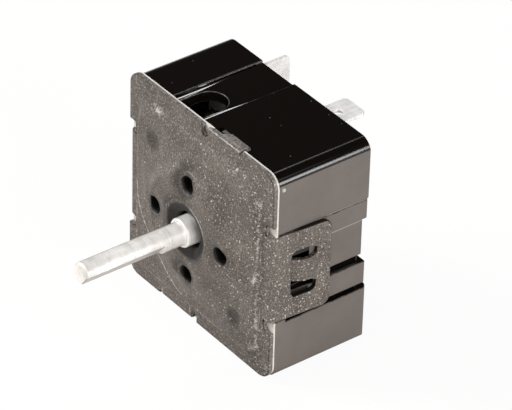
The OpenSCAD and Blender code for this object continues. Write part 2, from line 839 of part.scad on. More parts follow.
// The case's outside, cut from three crossing outlines
module case_block() {
    intersection() {
        along_y(case_y, lower_back_y)
            rounded_rect(case_w, case_h, case_top_r, case_bottom_r);
        translate([0, 0, -case_h])
            linear_extrude(2 * case_h)
                translate([0, (case_y + lower_back_y) / 2])
                    rounded_rect(case_w, lower_back_y - case_y, case_back_r, 0.01);
        along_x(-case_w, case_w)
            case_side_outline();
    }
}

// The recess of a side tab, sloped as the tab is, for the right-hand side
module side_tab_recess() {
    low_z = side_tab_bottom - recess_gap;
    high_z = side_tab_top + recess_gap;
    floor_x = bend_r - sheet_t - case_gap;
    translate([plate_w / 2 - bend_r, rim_y + bend_r, 0])
        rotate([0, 0, -side_tab_spring]) {
            box([floor_x, -2 * bend_r, low_z],
                [case_w, side_tab_reach - bend_r + 2 * recess_gap, high_z]);
            box([floor_x - bend_relief, -2 * bend_r, low_z], [case_w, bend_gap, high_z]);
        }
}

// What is cut from one side of the case, for the right-hand side: a small step, two grooves
// and the latch pocket in the tab's recess
module side_cuts() {
    far = case_w;
    face = case_w / 2;
    side_tab_recess();
    box([face - side_step, case_y - over, upper_block_z], [far, lower_back_y + over, case_h]);
    box([face - groove_depth, case_y + groove_start, rib_top_z],
        [far, lower_back_y + over, rib_top_z + groove_h]);
    box([face - groove_depth, case_y + groove_start, lower_block_z],
        [far, lower_back_y + over, rib_bottom_z]);
    box([recess_x - pocket_depth, pocket_y, -pocket_half_h],
        [far, pocket_y + pocket_l, pocket_half_h]);
}

// The recess of the top tab and of its bend
module edge_cut() {
    low_x = edge_tab_start - recess_gap;
    high_x = edge_tab_start + edge_tab_l + recess_gap;
    box([low_x, case_y - over, recess_z], [high_x, rim_y + edge_tab_reach + recess_gap, case_h]);
    box([low_x, case_y - over, recess_z - bend_relief], [high_x, plate_back_y + bend_relief, case_h]);
}

// A slot through the back wall for a flat or an upright tab
module flat_slot(x, z) {
    box([x - tab_w / 2 - slot_gap, cave_back_y - over, z - tab_t / 2 - slot_gap],
        [x + tab_w / 2 + slot_gap, lower_back_y + over, z + tab_t / 2 + slot_gap]);
}

module upright_slot(x, z) {
    box([x - tab_t / 2 - slot_gap, cave_back_y - over, z - tab_w / 2 - slot_gap],
        [x + tab_t / 2 + slot_gap, lower_back_y + over, z + tab_w / 2 + slot_gap]);
}

module case() {
    slot_r = slot_w / 2;
    slot_mid_y = plate_back_y + slot_reach - slot_r;
    top_z = case_h / 2;
    color(black_col)
        difference() {
            union() {
                difference() {
                    case_block();
                    along_y(case_y - over, cave_back_y)
                        rounded_rect(2 * cave_x, 2 * cave_z, 1, 1);
                }
                for (side = [0, 1])
                    mirror([side, 0, 0])
                        box([cave_x - pad_t, pocket_y - pad_rim, -pocket_half_h - pad_rim],
                            [cave_x + eps, pocket_y + pocket_l + pad_rim, pocket_half_h + pad_rim]);
                rod(spigot_r + run_gap + boss_wall, cave_boss_y, cave_back_y + eps);
                rod(pin_r + pin_boss_wall, pin_seat_y, cave_back_y + eps, pivot_x, pivot_z);
            }
            for (side = [0, 1])
                mirror([side, 0, 0])
                    side_cuts();
            for (turn = [0, 180])
                rotate([0, turn, 0])
                    edge_cut();
            rod(spigot_r + run_gap, cave_boss_y - over, spigot_floor_y);
            rod(journal_r + run_gap, spigot_floor_y - over, journal_floor_y);
            rod(pin_r + seat_fit, pin_seat_y - over, pin_seat_y + pin_seat_l + play, pivot_x, pivot_z);
            box([slot_x - channel_left, case_y - over, top_z - channel_depth],
                [slot_x + channel_right, lower_back_y + over, top_z + over]);
            box([slot_x - slot_r, case_y - over, cave_z - over],
                [slot_x + slot_r, slot_mid_y, top_z + over]);
            post(slot_r, cave_z - over, top_z + over, slot_x, slot_mid_y);
            flat_slot(flat_tab_x, upper_tab_z);
            flat_slot(flat_tab_x, lower_tab_z);
            upright_slot(-upright_tab_x, upright_upper_z);
            upright_slot(-upright_tab_x, upright_lower_z);
            upright_slot(-pilot_tab_x, 0);
        }
    pip_r = 0.5;
    color(black_col)
        translate([case_w / 2 - side_step - 0.15, case_y + 1.2, case_h / 2 - case_top_r])
            sphere(pip_r, $fn = 24);
}

// Sheet between the plate's rim and the case's front edge, cut out for the plate's bends
module insulator_sheet() {
    bend_x = plate_w / 2 - bend_r - insulator_inset;
    bend_z = plate_h / 2 - bend_r - insulator_inset;
    corner_r = plate_corner_r - insulator_inset;
    color(paper_col)
        difference() {
            along_y(plate_back_y, case_y)
                rounded_rect(plate_w - 2 * insulator_inset, plate_h - 2 * insulator_inset, corner_r, corner_r);
            for (side = [0, 1])
                mirror([side, 0, 0])
                    box([bend_x, rim_y, side_tab_bottom - recess_gap],
                        [plate_w, case_y + over, side_tab_top + recess_gap]);
            for (turn = [0, 180])
                rotate([0, turn, 0])
                    box([edge_tab_start - recess_gap, rim_y, bend_z],
                        [edge_tab_start + edge_tab_l + recess_gap, case_y + over, plate_h]);
            rod(insulator_hole_r, rim_y, case_y + over);
            at_screw_holes()
                rod(hole_r + 0.6, rim_y, case_y + over);
        }
}

// A quick-connect tab's outline: its root, its chamfered end and its hole
module tab_outline() {
    root_y = cave_back_y - eps;
    difference() {
        polygon([[-tab_w / 2, root_y], [tab_w / 2, root_y],
            [tab_w / 2, tab_end - tab_chamfer], [tab_w / 2 - tab_chamfer, tab_end],
            [-tab_w / 2 + tab_chamfer, tab_end], [-tab_w / 2, tab_end - tab_chamfer]]);
        translate([0, tab_end - tab_hole_inset])
            circle(tab_hole_r);
    }
}

module flat_tab(x, z) {
    translate([x, 0, z - tab_t / 2])
        linear_extrude(tab_t)
            tab_outline();
}

module upright_tab(x, z) {
    translate([x - tab_t / 2, 0, z])
        rotate([0, 90, 0])
            linear_extrude(tab_t)
                tab_outline();
}

// Upper right tab: it folds down to carry the snap blade
module line_terminal_1() {
    foot_z = snap_z - tab_t / 2;
    color(bright_col)
        difference() {
            union() {
                flat_tab(flat_tab_x, upper_tab_z);
                along_y(bus_y, cave_back_y)
                    bent_strip([[flat_tab_x - tab_w / 2 - 0.6, upper_tab_z],
                        [snap_leg_x, upper_tab_z]], tab_t);
                along_y(lever_mid_y - blade_w / 2, cave_back_y)
                    bent_strip([[snap_leg_x, upper_tab_z],
                        [snap_leg_x, upper_tab_z - 2.4]], tab_t);
                along_y(bus_y, cave_back_y)
                    translate([snap_leg_x, upper_tab_z])
                        circle(tab_t / 2, $fn = 32);
                along_y(lever_mid_y - blade_w / 2, lever_mid_y + blade_w / 2)
                    bent_strip([[snap_leg_x, upper_tab_z - 1], [snap_leg_x, foot_z],
                        [snap_rivet_x - rivet_head_r - 0.6, foot_z]], tab_t);
            }
            post(rivet_r + seat_fit, foot_z - over, foot_z + over, snap_rivet_x, lever_mid_y);
        }
}

// Upper left tab: its bar runs behind the strip and carries the snap contact
module load_terminal_1() {
    foot_z = snap_fixed_z;
    color(bright_col) {
        upright_tab(-upright_tab_x, upright_upper_z);
        box([-upright_tab_x - tab_t / 2, bus_y, upright_upper_z - tab_w / 2 - 0.4],
            [-upright_tab_x + tab_t / 2, cave_back_y, upright_upper_z + tab_w / 2]);
        box([-upright_tab_x - tab_t / 2, bus_y, foot_z], [bus_end_x, bus_y + tab_t, cave_z - bus_drop]);
        box([snap_contact_x - contact_r - 0.4, lever_mid_y - contact_r - 0.4, foot_z],
            [bus_end_x, bus_y + tab_t, foot_z + tab_t]);
    }
}

// Lower left tab: its foot carries the line blade, and its upstand the pilot contact
module line_terminal_2() {
    foot_end_x = pilot_fixed_x + tab_t;
    color(bright_col)
        difference() {
            union() {
                upright_tab(-upright_tab_x, upright_lower_z);
                box([-upright_tab_x - tab_t / 2, upstand_y, upright_lower_z - tab_w / 2 - 0.4],
                    [-upright_tab_x + tab_t / 2, cave_back_y, upright_lower_z + tab_w / 2 + 0.4]);
                along_y(line_mid_y - blade_w / 2, upstand_y + upstand_l)
                    bent_strip([[-upright_tab_x, upright_lower_z], [-upright_tab_x, line_foot_z],
                        [foot_end_x - tab_t / 2, line_foot_z]], tab_t);
                along_y(upstand_y, upstand_y + upstand_l)
                    bent_strip([[foot_end_x - 2 * tab_t, line_foot_z],
                        [foot_end_x - tab_t / 2, line_foot_z],
                        [foot_end_x - tab_t / 2, pilot_contact_z + pilot_contact_r + 0.3]], tab_t);
            }
            post(rivet_r + seat_fit, line_foot_z - over, line_foot_z + over, line_rivet_x, line_mid_y);
        }
}

// Lower right tab: it folds up and back over the line blade's end
module load_terminal_2() {
    foot_z = line_fixed_z + tab_t / 2;
    color(bright_col) {
        flat_tab(flat_tab_x, lower_tab_z);
        along_y(line_mid_y - blade_w / 2, cave_back_y)
            bent_strip([[flat_tab_x - tab_w / 2 - 0.6, lower_tab_z], [line_leg_x, lower_tab_z]], tab_t);
        along_y(line_mid_y - blade_w / 2, line_mid_y + blade_w / 2)
            bent_strip([[line_leg_x - 2, lower_tab_z], [line_leg_x, lower_tab_z],
                [line_leg_x, foot_z], [line_contact_x - contact_r - 0.4, foot_z]], tab_t);
    }
}

// Left middle tab: a flat piece that carries the pilot blade
module pilot_terminal() {
    web_y = cave_back_y - 4;
    color(bright_col)
        difference() {
            union() {
                upright_tab(-pilot_tab_x, 0);
                box([-pilot_tab_x - tab_t / 2, web_y, -tab_w / 2 - 0.6],
                    [-pilot_tab_x + tab_t / 2, cave_back_y, pilot_rivet_z + 2.1]);
                box([-pilot_tab_x - tab_t / 2, pilot_mid_y - blade_w / 2, pilot_rivet_z - 2.1],
                    [-pilot_tab_x + tab_t / 2, cave_back_y, pilot_rivet_z + 2.1]);
            }
            bar_x(rivet_r + seat_fit, -pilot_tab_x - over, -pilot_tab_x + over, pilot_mid_y, pilot_rivet_z);
        }
}

// Snap blade with its sprung middle tongue
module snap_blade() {
    slit_w = 0.5;
    slit_l = 3.6;
    slit_y = snap_tongue_w / 2 + slit_w / 2;
    color(copper_col)
        difference() {
            box([snap_start_x, lever_mid_y - blade_w / 2, snap_z],
                [snap_leg_x - tab_t, lever_mid_y + blade_w / 2, snap_top_z]);
            for (y = [lever_mid_y - slit_y, lever_mid_y + slit_y])
                box([button_x - 1.6, y - slit_w / 2, snap_z - over],
                    [button_x - 1.6 + slit_l, y + slit_w / 2, snap_top_z + over]);
            post(rivet_r + seat_fit, snap_z - over, snap_z + over, snap_rivet_x, lever_mid_y);
        }
}

// Line blade: a long leaf with a pressed bump under the cam's lobe
module line_blade() {
    bump_z = -(lobe_r + bump_gap);
    color(copper_col)
        difference() {
            union() {
                box([-upright_tab_x + tab_t, line_mid_y - blade_w / 2, line_z],
                    [line_contact_x + contact_r + 0.6, line_mid_y + blade_w / 2, line_top_z]);
                intersection() {
                    rod(bump_r, line_mid_y - 0.7, line_mid_y + 0.7, 0, bump_z - bump_r);
                    box([-bump_r, 0, line_z], [bump_r, cave_back_y, 0]);
                }
            }
            post(rivet_r + seat_fit, line_z - over, line_z + over, line_rivet_x, line_mid_y);
        }
}

// Pilot blade: an upright leaf with a pressed bump beside the cam's lobe
module pilot_blade() {
    bump_x = -(lobe_r + bump_gap);
    bump_y = pilot_track_y + track_t / 2;
    color(copper_col)
        difference() {
            union() {
                box([pilot_face_x, pilot_mid_y - blade_w / 2, pilot_contact_z - pilot_contact_r - 0.3],
                    [pilot_front_x, pilot_mid_y + blade_w / 2, pilot_rivet_z + 2.1]);
                intersection() {
                    rod(bump_r, bump_y - 0.7, bump_y + 0.7, bump_x - bump_r, 0);
                    box([pilot_face_x, 0, -bump_r], [0, cave_back_y, bump_r]);
                }
            }
            bar_x(rivet_r + seat_fit, pilot_face_x - over, pilot_face_x + over, pilot_mid_y, pilot_rivet_z);
        }
}

module fixed_contacts() {
    color(silver_col) {
        post(contact_r, snap_fixed_z - contact_t, snap_fixed_z, snap_contact_x, lever_mid_y);
        post(contact_r, line_fixed_z - contact_t, line_fixed_z, line_contact_x, line_mid_y);
        bar_x(pilot_contact_r, pilot_fixed_x - contact_t, pilot_fixed_x,
            pilot_contact_y, pilot_contact_z);
    }
}

module moving_contacts() {
    color(silver_col) {
        post(contact_r, snap_top_z, snap_top_z + contact_t, snap_contact_x, lever_mid_y);
        post(contact_r, line_top_z, line_top_z + contact_t, line_contact_x, line_mid_y);
        bar_x(pilot_contact_r, pilot_front_x, pilot_front_x + contact_t,
            pilot_contact_y, pilot_contact_z);
    }
}

// A rivet along Z, its heads against two faces
module rivet_z(x, y, z0, z1) {
    post(rivet_r, z0, z1, x, y);
    post(rivet_head_r, z0 - rivet_head_t, z0, x, y);
    post(rivet_head_r, z1, z1 + rivet_head_t, x, y);
}

module blade_rivets() {
    color(brass_col) {
        rivet_z(snap_rivet_x, lever_mid_y, snap_z - tab_t, snap_top_z);
        rivet_z(line_rivet_x, line_mid_y, line_z - tab_t, line_top_z);
        bar_x(rivet_r, -pilot_tab_x - tab_t / 2, pilot_front_x, pilot_mid_y, pilot_rivet_z);
        bar_x(rivet_head_r, -pilot_tab_x - tab_t / 2 - rivet_head_t, -pilot_tab_x - tab_t / 2,
            pilot_mid_y, pilot_rivet_z);
        bar_x(rivet_head_r, pilot_front_x, pilot_front_x + rivet_head_t, pilot_mid_y, pilot_rivet_z);
    }
}

module pivot_pin() {
    head_y = control_y - end_gap;
    color(bright_col) {
        rod(pin_r, head_y, pin_seat_y + pin_seat_l, pivot_x, pivot_z);
        rod(pin_head_r, head_y - pin_head_t, head_y, pivot_x, pivot_z);
    }
}

module follower_lever() {
    back_y = control_y + control_t;
    color(cream_col)
        difference() {
            union() {
                rod(hub_r, control_y, back_y, pivot_x, pivot_z);
                box([pivot_x, control_y, bar_z], [bar_over, back_y, bar_top_z]);
                rod(nose_r, control_y, back_y, 0, nose_z);
                box([foot_x, control_y, bar_top_z - eps], [foot_x + foot_l, back_y, strip_z]);
            }
            rod(pin_r + run_gap, control_y - over, back_y + over, pivot_x, pivot_z);
            post(rivet_r + seat_fit, bar_top_z + 0.8, strip_z + over, foot_rivet_x, lever_mid_y);
        }
}

module bimetal_strip() {
    color(copper_col)
        difference() {
            box([strip_start_x, lever_mid_y - strip_w / 2, strip_z],
                [strip_end, lever_mid_y + strip_w / 2, strip_top_z]);
            post(rivet_r + seat_fit, strip_z - over, strip_top_z + over, foot_rivet_x, lever_mid_y);
            post(screw_r + seat_fit, strip_z - over, strip_top_z + over, screw_x, lever_mid_y);
            post(button_r / 2 + seat_fit, strip_z - over, strip_top_z + over, button_x, lever_mid_y);
        }
}

module heater_card() {
    gap = 0.03;
    half = strip_w / 2 + gap;
    color(cream_col)
        along_x(card_start, card_start + card_l)
            difference() {
                translate([lever_mid_y - half - card_t, strip_z - gap - card_t])
                    square([2 * (half + card_t), strip_t + 2 * (gap + card_t)]);
                translate([lever_mid_y - half, strip_z - gap])
                    square([2 * half, strip_t + 2 * gap]);
            }
}

// Corners of one turn of the heater wire about the card, Y and Z from its middle
function heater_corner(k) = let (
    hy = strip_w / 2 + 0.03 + card_t + heater_wire_r + 0.05,
    hz = strip_t / 2 + 0.03 + card_t + heater_wire_r + 0.05,
    c = 0.15)
    [[hy, hz - c], [hy - c, hz], [-hy + c, hz], [-hy, hz - c],
        [-hy, -hz + c], [-hy + c, -hz], [hy - c, -hz], [hy, -hz + c]][k % 8];

module heater_winding() {
    margin = 0.9;
    pitch = (card_l - 2 * margin) / heater_turns;
    mid_z = strip_z + strip_t / 2;
    color(silver_col)
        wire([for (k = [0 : 8 * heater_turns])
            let (c = heater_corner(k))
            [card_start + margin + pitch * k / 8, lever_mid_y + c[0], mid_z + c[1]]],
            heater_wire_r, [1, 0, 0]);
}

module calibration_screw() {
    head_z = strip_top_z + 0.8;
    head_top_z = head_z + screw_head_t;
    color(brass_col)
        difference() {
            union() {
                post(screw_r, bar_top_z, head_z + eps, screw_x, lever_mid_y);
                post(screw_head_r, head_z, head_top_z, screw_x, lever_mid_y);
            }
            box([screw_x - screw_head_r - over, lever_mid_y - 0.3, head_top_z - 0.6],
                [screw_x + screw_head_r + over, lever_mid_y + 0.3, head_top_z + over]);
        }
}

module strip_button() {
    color(cream_col) {
        post(button_r, strip_z - button_h, strip_z, button_x, lever_mid_y);
        post(button_r / 2, strip_z - eps, strip_top_z + eps, button_x, lever_mid_y);
        post(button_r * 0.8, strip_top_z, strip_top_z + 0.4, button_x, lever_mid_y);
    }
}

module strip_rivet() {
    color(brass_col) {
        post(rivet_r, bar_top_z + 0.9, strip_top_z, foot_rivet_x, lever_mid_y);
        post(rivet_head_r, strip_top_z, strip_top_z + rivet_head_t, foot_rivet_x, lever_mid_y);
    }
}

// Radius of the control track, a share of a turn away from the OFF seat
function control_radius(u) = (u < off_share || u > 1 - off_share)
    ? control_low_r - off_drop
    : control_low_r + control_rise * (u - off_share) / (1 - 2 * off_share);

// Outline of a switching track, with one lobe centred on an angle
module lobe_outline(lobe_angle) {
    polygon([for (a = [0 : 4 : 356])
        let (away = abs((a - lobe_angle + 540) % 360 - 180),
            lift = min(1, max(0, (lobe_half_angle + lobe_ramp - away) / lobe_ramp)))
        (track_r + lobe_h * lift) * [cos(a), sin(a)]]);
}

module cam() {
    color(cream_col)
        difference() {
            union() {
                rod(cam_hub_r, control_y - 0.2, cam_back_y);
                rod(spring_r + wire_r + 0.6, cam_front, control_y);
                along_y(control_y, control_y + control_t)
                    polygon([for (k = [0 : 89])
                        control_radius(k / 90) * [cos(90 - 4 * k), sin(90 - 4 * k)]]);
                along_y(line_track_y, line_track_y + track_t)
                    lobe_outline(270);
                along_y(pilot_track_y, pilot_track_y + track_t)
                    lobe_outline(180);
                rod(spigot_r, cam_back_y - eps, cam_back_y + spigot_l);
            }
            d_rod(drive_r + run_gap, drive_flat_d + run_gap, cam_front - over, spigot_floor_y);
        }
}

module return_spring() {
    steps = 16;
    y0 = spring_front_y + wire_r + play;
    y1 = cam_front - wire_r - play;
    count = spring_turns * steps;
    color(bright_col)
        wire([for (k = [0 : count])
            [spring_r * cos(360 * k / steps), y0 + (y1 - y0) * k / count,
                spring_r * sin(360 * k / steps)]], wire_r, [0, 1, 0]);
}

module shaft() {
    flat_end_y = -shoulder_out - round_l;
    shoulder_chamfer = 0.3;
    color(bright_col)
        difference() {
            union() {
                intersection() {
                    turned([[0, -shaft_out], [shaft_r - tip_chamfer, -shaft_out],
                        [shaft_r, -shaft_out + tip_chamfer], [shaft_r, flat_end_y], [0, flat_end_y]]);
                    d_rod(shaft_r + over, flat_d, -shaft_out - over, flat_end_y);
                }
                turned([[0, flat_end_y - eps], [shaft_r, flat_end_y - eps], [shaft_r, -shoulder_out],
                    [shoulder_r - shoulder_chamfer, -shoulder_out],
                    [shoulder_r, -shoulder_out + shoulder_chamfer],
                    [shoulder_r, shoulder_end_y], [0, shoulder_end_y]]);
                d_rod(drive_r, drive_flat_d, shoulder_end_y - eps, drive_end_y);
                rod(journal_r, drive_end_y - eps, journal_end_y);
            }
            turned([[ring_groove_r, ring_y - seat_fit],
                [shoulder_r + over, ring_y - seat_fit],
                [shoulder_r + over, ring_y + ring_t + seat_fit],
                [ring_groove_r, ring_y + ring_t + seat_fit]]);
        }
}

module thrust_washer() {
    color(silver_col)
        difference() {
            rod(washer_r, washer_y, washer_y + washer_t);
            rod(shoulder_r + run_gap, washer_y - over, washer_y + washer_t + over);
        }
}

// An open ring, snapped into the shaft's groove from the side
module retaining_ring() {
    mouth = ring_groove_r * 0.8;
    color(steel_col)
        difference() {
            rod(ring_r, ring_y, ring_y + ring_t);
            rod(ring_groove_r + seat_fit, ring_y - over, ring_y + ring_t + over);
            box([-mouth, ring_y - over, -2 * ring_r], [mouth, ring_y + ring_t + over, 0]);
        }
}

mounting_plate();
case();
insulator_sheet();
line_terminal_1();
line_terminal_2();
load_terminal_1();
load_terminal_2();
pilot_terminal();
snap_blade();
line_blade();
pilot_blade();
fixed_contacts();
moving_contacts();
blade_rivets();
pivot_pin();
follower_lever();
bimetal_strip();
heater_card();
heater_winding();
calibration_screw();
strip_button();
strip_rivet();
cam();
return_spring();
shaft();
thrust_washer();
retaining_ring();
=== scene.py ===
import json
from functools import partial
from math import atan2, cos, degrees, dist, exp, hypot, pi, radians, sin

import bmesh
import bpy
import numpy as np
from mathutils import Matrix, Vector, noise
from mathutils.geometry import delaunay_2d_cdt
from mathutils.kdtree import KDTree


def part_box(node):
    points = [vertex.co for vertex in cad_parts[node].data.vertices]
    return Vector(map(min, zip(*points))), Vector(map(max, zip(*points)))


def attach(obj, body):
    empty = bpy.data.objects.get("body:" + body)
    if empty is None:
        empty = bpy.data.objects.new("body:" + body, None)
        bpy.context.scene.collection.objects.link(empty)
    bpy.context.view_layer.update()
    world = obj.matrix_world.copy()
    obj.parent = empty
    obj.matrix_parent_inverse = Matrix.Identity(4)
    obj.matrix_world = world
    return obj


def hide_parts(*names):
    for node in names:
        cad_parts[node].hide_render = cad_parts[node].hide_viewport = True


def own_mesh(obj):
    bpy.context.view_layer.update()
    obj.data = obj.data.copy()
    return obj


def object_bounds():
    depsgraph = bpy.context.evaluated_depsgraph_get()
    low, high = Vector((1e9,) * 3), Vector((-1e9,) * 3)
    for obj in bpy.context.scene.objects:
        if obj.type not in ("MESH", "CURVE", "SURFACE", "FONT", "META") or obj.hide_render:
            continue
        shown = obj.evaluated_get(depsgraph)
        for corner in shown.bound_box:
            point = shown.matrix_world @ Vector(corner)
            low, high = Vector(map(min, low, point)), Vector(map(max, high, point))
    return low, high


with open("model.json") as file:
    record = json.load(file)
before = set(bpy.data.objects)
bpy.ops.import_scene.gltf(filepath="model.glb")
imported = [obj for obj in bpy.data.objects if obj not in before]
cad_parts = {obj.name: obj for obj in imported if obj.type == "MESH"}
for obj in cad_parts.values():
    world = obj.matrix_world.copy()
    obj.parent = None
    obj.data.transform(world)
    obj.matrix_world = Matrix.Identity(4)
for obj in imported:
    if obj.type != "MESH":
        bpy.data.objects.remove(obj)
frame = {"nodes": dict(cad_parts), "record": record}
nodes = frame["nodes"]
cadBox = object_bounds()
print("frame loaded:", len(nodes), "nodes")


def linearColour(hexColour):
    parts = [int(hexColour[i:i + 2], 16) / 255 for i in (1, 3, 5)]
    return [p / 12.92 if p <= 0.04045 else ((p + 0.055) / 1.055) ** 2.4 for p in parts] + [1.0]


def setInputs(node, inputs):
    # to plain values, "#hex" colours or the sockets of other nodes
    for name, value in inputs.items():
        socket = node.inputs[name]
        if isinstance(value, bpy.types.NodeSocket):
            node.id_data.links.new(value, socket)
        else:
            socket.default_value = linearColour(value) if isinstance(value, str) else value


def addNode(tree, kind, inputs=None, stops=(), **settings):
    # stops are the places and the greys or colours of a colour ramp; what comes back is the
    # node's first output in use
    made = tree.nodes.new("ShaderNode" + kind)
    for name, value in settings.items():
        setattr(made, name, value)
    setInputs(made, inputs or {})
    for i, (at, tone) in enumerate(stops):
        bar = made.color_ramp.elements
        element = bar[i] if i < 2 else bar.new(at)
        element.position = at
        element.color = linearColour(tone) if isinstance(tone, str) else (tone, tone, tone, 1)
    return next(socket for socket in made.outputs if socket.enabled)


def newFinish(name):
    # a material, what adds a node to it, its shader, and the place on the piece
    finish = bpy.data.materials.new(name)
    finish.use_nodes = True
    add = partial(addNode, finish.node_tree)
    return finish, add, finish.node_tree.nodes["Principled BSDF"], add("TexCoord").node.outputs["Object"]


def perMm(size):
    # a texture's scale from a real size in millimetres: the model is in metres
    return 1000 / size


def addObject(name, data):
    made = bpy.data.objects.new(name, data)
    bpy.context.scene.collection.objects.link(made)
    return made


# Camera: where the photo was taken from

cameraView = {
    "place": (0.46367, -0.34485, 0.41583),      # m
    "azimuth": 52.01,       # degrees, round from the shaft's side
    "elevation": 35.31,
    "roll": -1.61,
    "lens": 260.9,          # mm, on a 36 mm sensor
    "clip": (0.05, 20),     # m
}

azimuth, elevation, roll = (radians(cameraView[k]) for k in ("azimuth", "elevation", "roll"))
back = Vector((sin(azimuth) * cos(elevation), -cos(azimuth) * cos(elevation),
               sin(elevation)))
levelRight = Vector((cos(azimuth), sin(azimuth), 0))
levelUp = back.cross(levelRight)
right = levelRight * cos(roll) - levelUp * sin(roll)
up = levelRight * sin(roll) + levelUp * cos(roll)
camera = addObject("camera", bpy.data.cameras.new("camera"))
camera.data.lens = cameraView["lens"]
camera.data.clip_start, camera.data.clip_end = cameraView["clip"]
axes = Matrix((right, up, back)).transposed().to_4x4()
camera.matrix_world = Matrix.Translation(cameraView["place"]) @ axes
bpy.context.scene.camera = camera
bpy.context.scene.view_settings.view_transform = "Standard"
print("camera placed")


# Floor and light: a white paper sweep, lit from the front, with the back of the studio dark

studio = {
    "floorDrop": 0.0002,    # m under the part
    "floorSize": 6.0,       # m
    "floorColour": "#F2EFEA", "floorRoughness": 0.95, "floorShine": 0.1,
    "floorGlow": 0.94,      # share of plain white in the floor that the camera sees
    "mirrorGlow": 0.1,      # the same in the floor that the gloss mirrors
    "skyLight": 0.36,
    "darkSide": (-0.1, 0.753, 0.65),    # the unlit end of the studio, which the polished top mirrors
    "reflected": [(0.3, 0.85), (0.56, 0.07), (0.95, 0.008)],    # nearness to that end, and brightness
    "aim": (0, 0.012, 0),   # m: what the lamps point at
}
lamps = {       # m and W
    "softBox": {"from": (-0.52, -0.45, 0.60), "wide": 0.36, "tall": 0.36, "power": 7.8},
    "rightFill": {"from": (0.80, -0.02, 0.28), "wide": 0.4, "tall": 0.4, "power": 4.4},
    "rearStrip": {      # the bright line on the case's long edge
        "from": (0.49, 0.30, 0.19), "wide": 0.08, "tall": 0.15, "power": 0.45},
    "topStrip": {       # the faint line above it
        "from": (-0.16, 0.30, 0.52), "wide": 0.05, "tall": 0.12, "power": 0.06},
}


def whatLooks(add):
    # a share that is 1 for the camera, also through glass, and one that is 1 for the gloss
    ray = add("LightPath").node.outputs
    inView = {0: ray["Is Camera Ray"], 1: ray["Is Transmission Ray"]}
    return add("Math", inView, operation="MAXIMUM"), ray["Is Glossy Ray"]


floorZ = cadBox[0][2] - studio["floorDrop"]
half = studio["floorSize"] / 2
corners = [(-half, -half, floorZ), (half, -half, floorZ), (half, half, floorZ), (-half, half, floorZ)]
floorMesh = bpy.data.meshes.new("floor")
floorMesh.from_pydata(corners, [], [(0, 1, 2, 3)])
floor = addObject("floor", floorMesh)
floorPaper, add, shader, place = newFinish("white paper sweep")
setInputs(shader, {"Base Color": studio["floorColour"], "Roughness": studio["floorRoughness"],
                   "Specular IOR Level": studio["floorShine"]})
seen, mirrored = whatLooks(add)
shown = add("Math", {0: seen, 1: studio["floorGlow"]}, operation="MULTIPLY")
mirror = add("Math", {0: mirrored, 1: studio["mirrorGlow"]}, operation="MULTIPLY")
share = add("Math", {0: shown, 1: mirror}, operation="MAXIMUM")
white = add("Emission", {"Color": "#FFFFFF", "Strength": 1.0})
glowing = add("MixShader", {0: share, 1: shader.outputs[0], 2: white})
setInputs(floorPaper.node_tree.nodes["Material Output"], {"Surface": glowing})
floorMesh.materials.append(floorPaper)

world = bpy.data.worlds.new("studio")
bpy.context.scene.world = world
world.use_nodes = True
add = partial(addNode, world.node_tree)
seen, mirrored = whatLooks(add)
direction = add("TexCoord").node.outputs["Generated"]
toDark = add("VectorMath", {0: direction, 1: studio["darkSide"]}, operation="DOT_PRODUCT")
reflected = add("ValToRGB", {"Fac": toDark}, studio["reflected"])
sky = (studio["skyLight"],) * 3 + (1,)
lit = add("Mix", {"Factor": mirrored, 6: sky, 7: reflected}, data_type="RGBA")
shown = add("Mix", {"Factor": seen, 6: lit, 7: "#FFFFFF"}, data_type="RGBA")
setInputs(world.node_tree.nodes["Background"], {"Color": shown})

for name, values in lamps.items():
    lamp = bpy.data.lights.new(name, "AREA")
    lamp.shape = "RECTANGLE"
    lamp.size, lamp.size_y = values["wide"], values["tall"]
    lamp.energy = values["power"]
    holder = addObject(name, lamp)
    holder.location = values["from"]
    sight = Vector(studio["aim"]) - Vector(values["from"])
    holder.rotation_euler = sight.to_track_quat("-Z", "Y").to_euler()
print("floor and lamps placed")


def specks(add, place, dust, least):
    # round spots in the cells of a Voronoi pattern whose random number is above the least; each
    # fades between two shares of its radius
    cells = add("TexVoronoi", {"Vector": place, "Scale": perMm(dust["spacing"])}).node.outputs
    full, gone = (dust["r"] / dust["spacing"] * share for share in dust["fade"])
    dots = add("ValToRGB", {"Fac": cells["Distance"]}, [(full, dust["share"]), (gone, 0.0)])
    chosen = add("Math", {0: cells["Color"], 1: least}, operation="GREATER_THAN")
    return add("Math", {0: dots, 1: chosen}, operation="MULTIPLY")
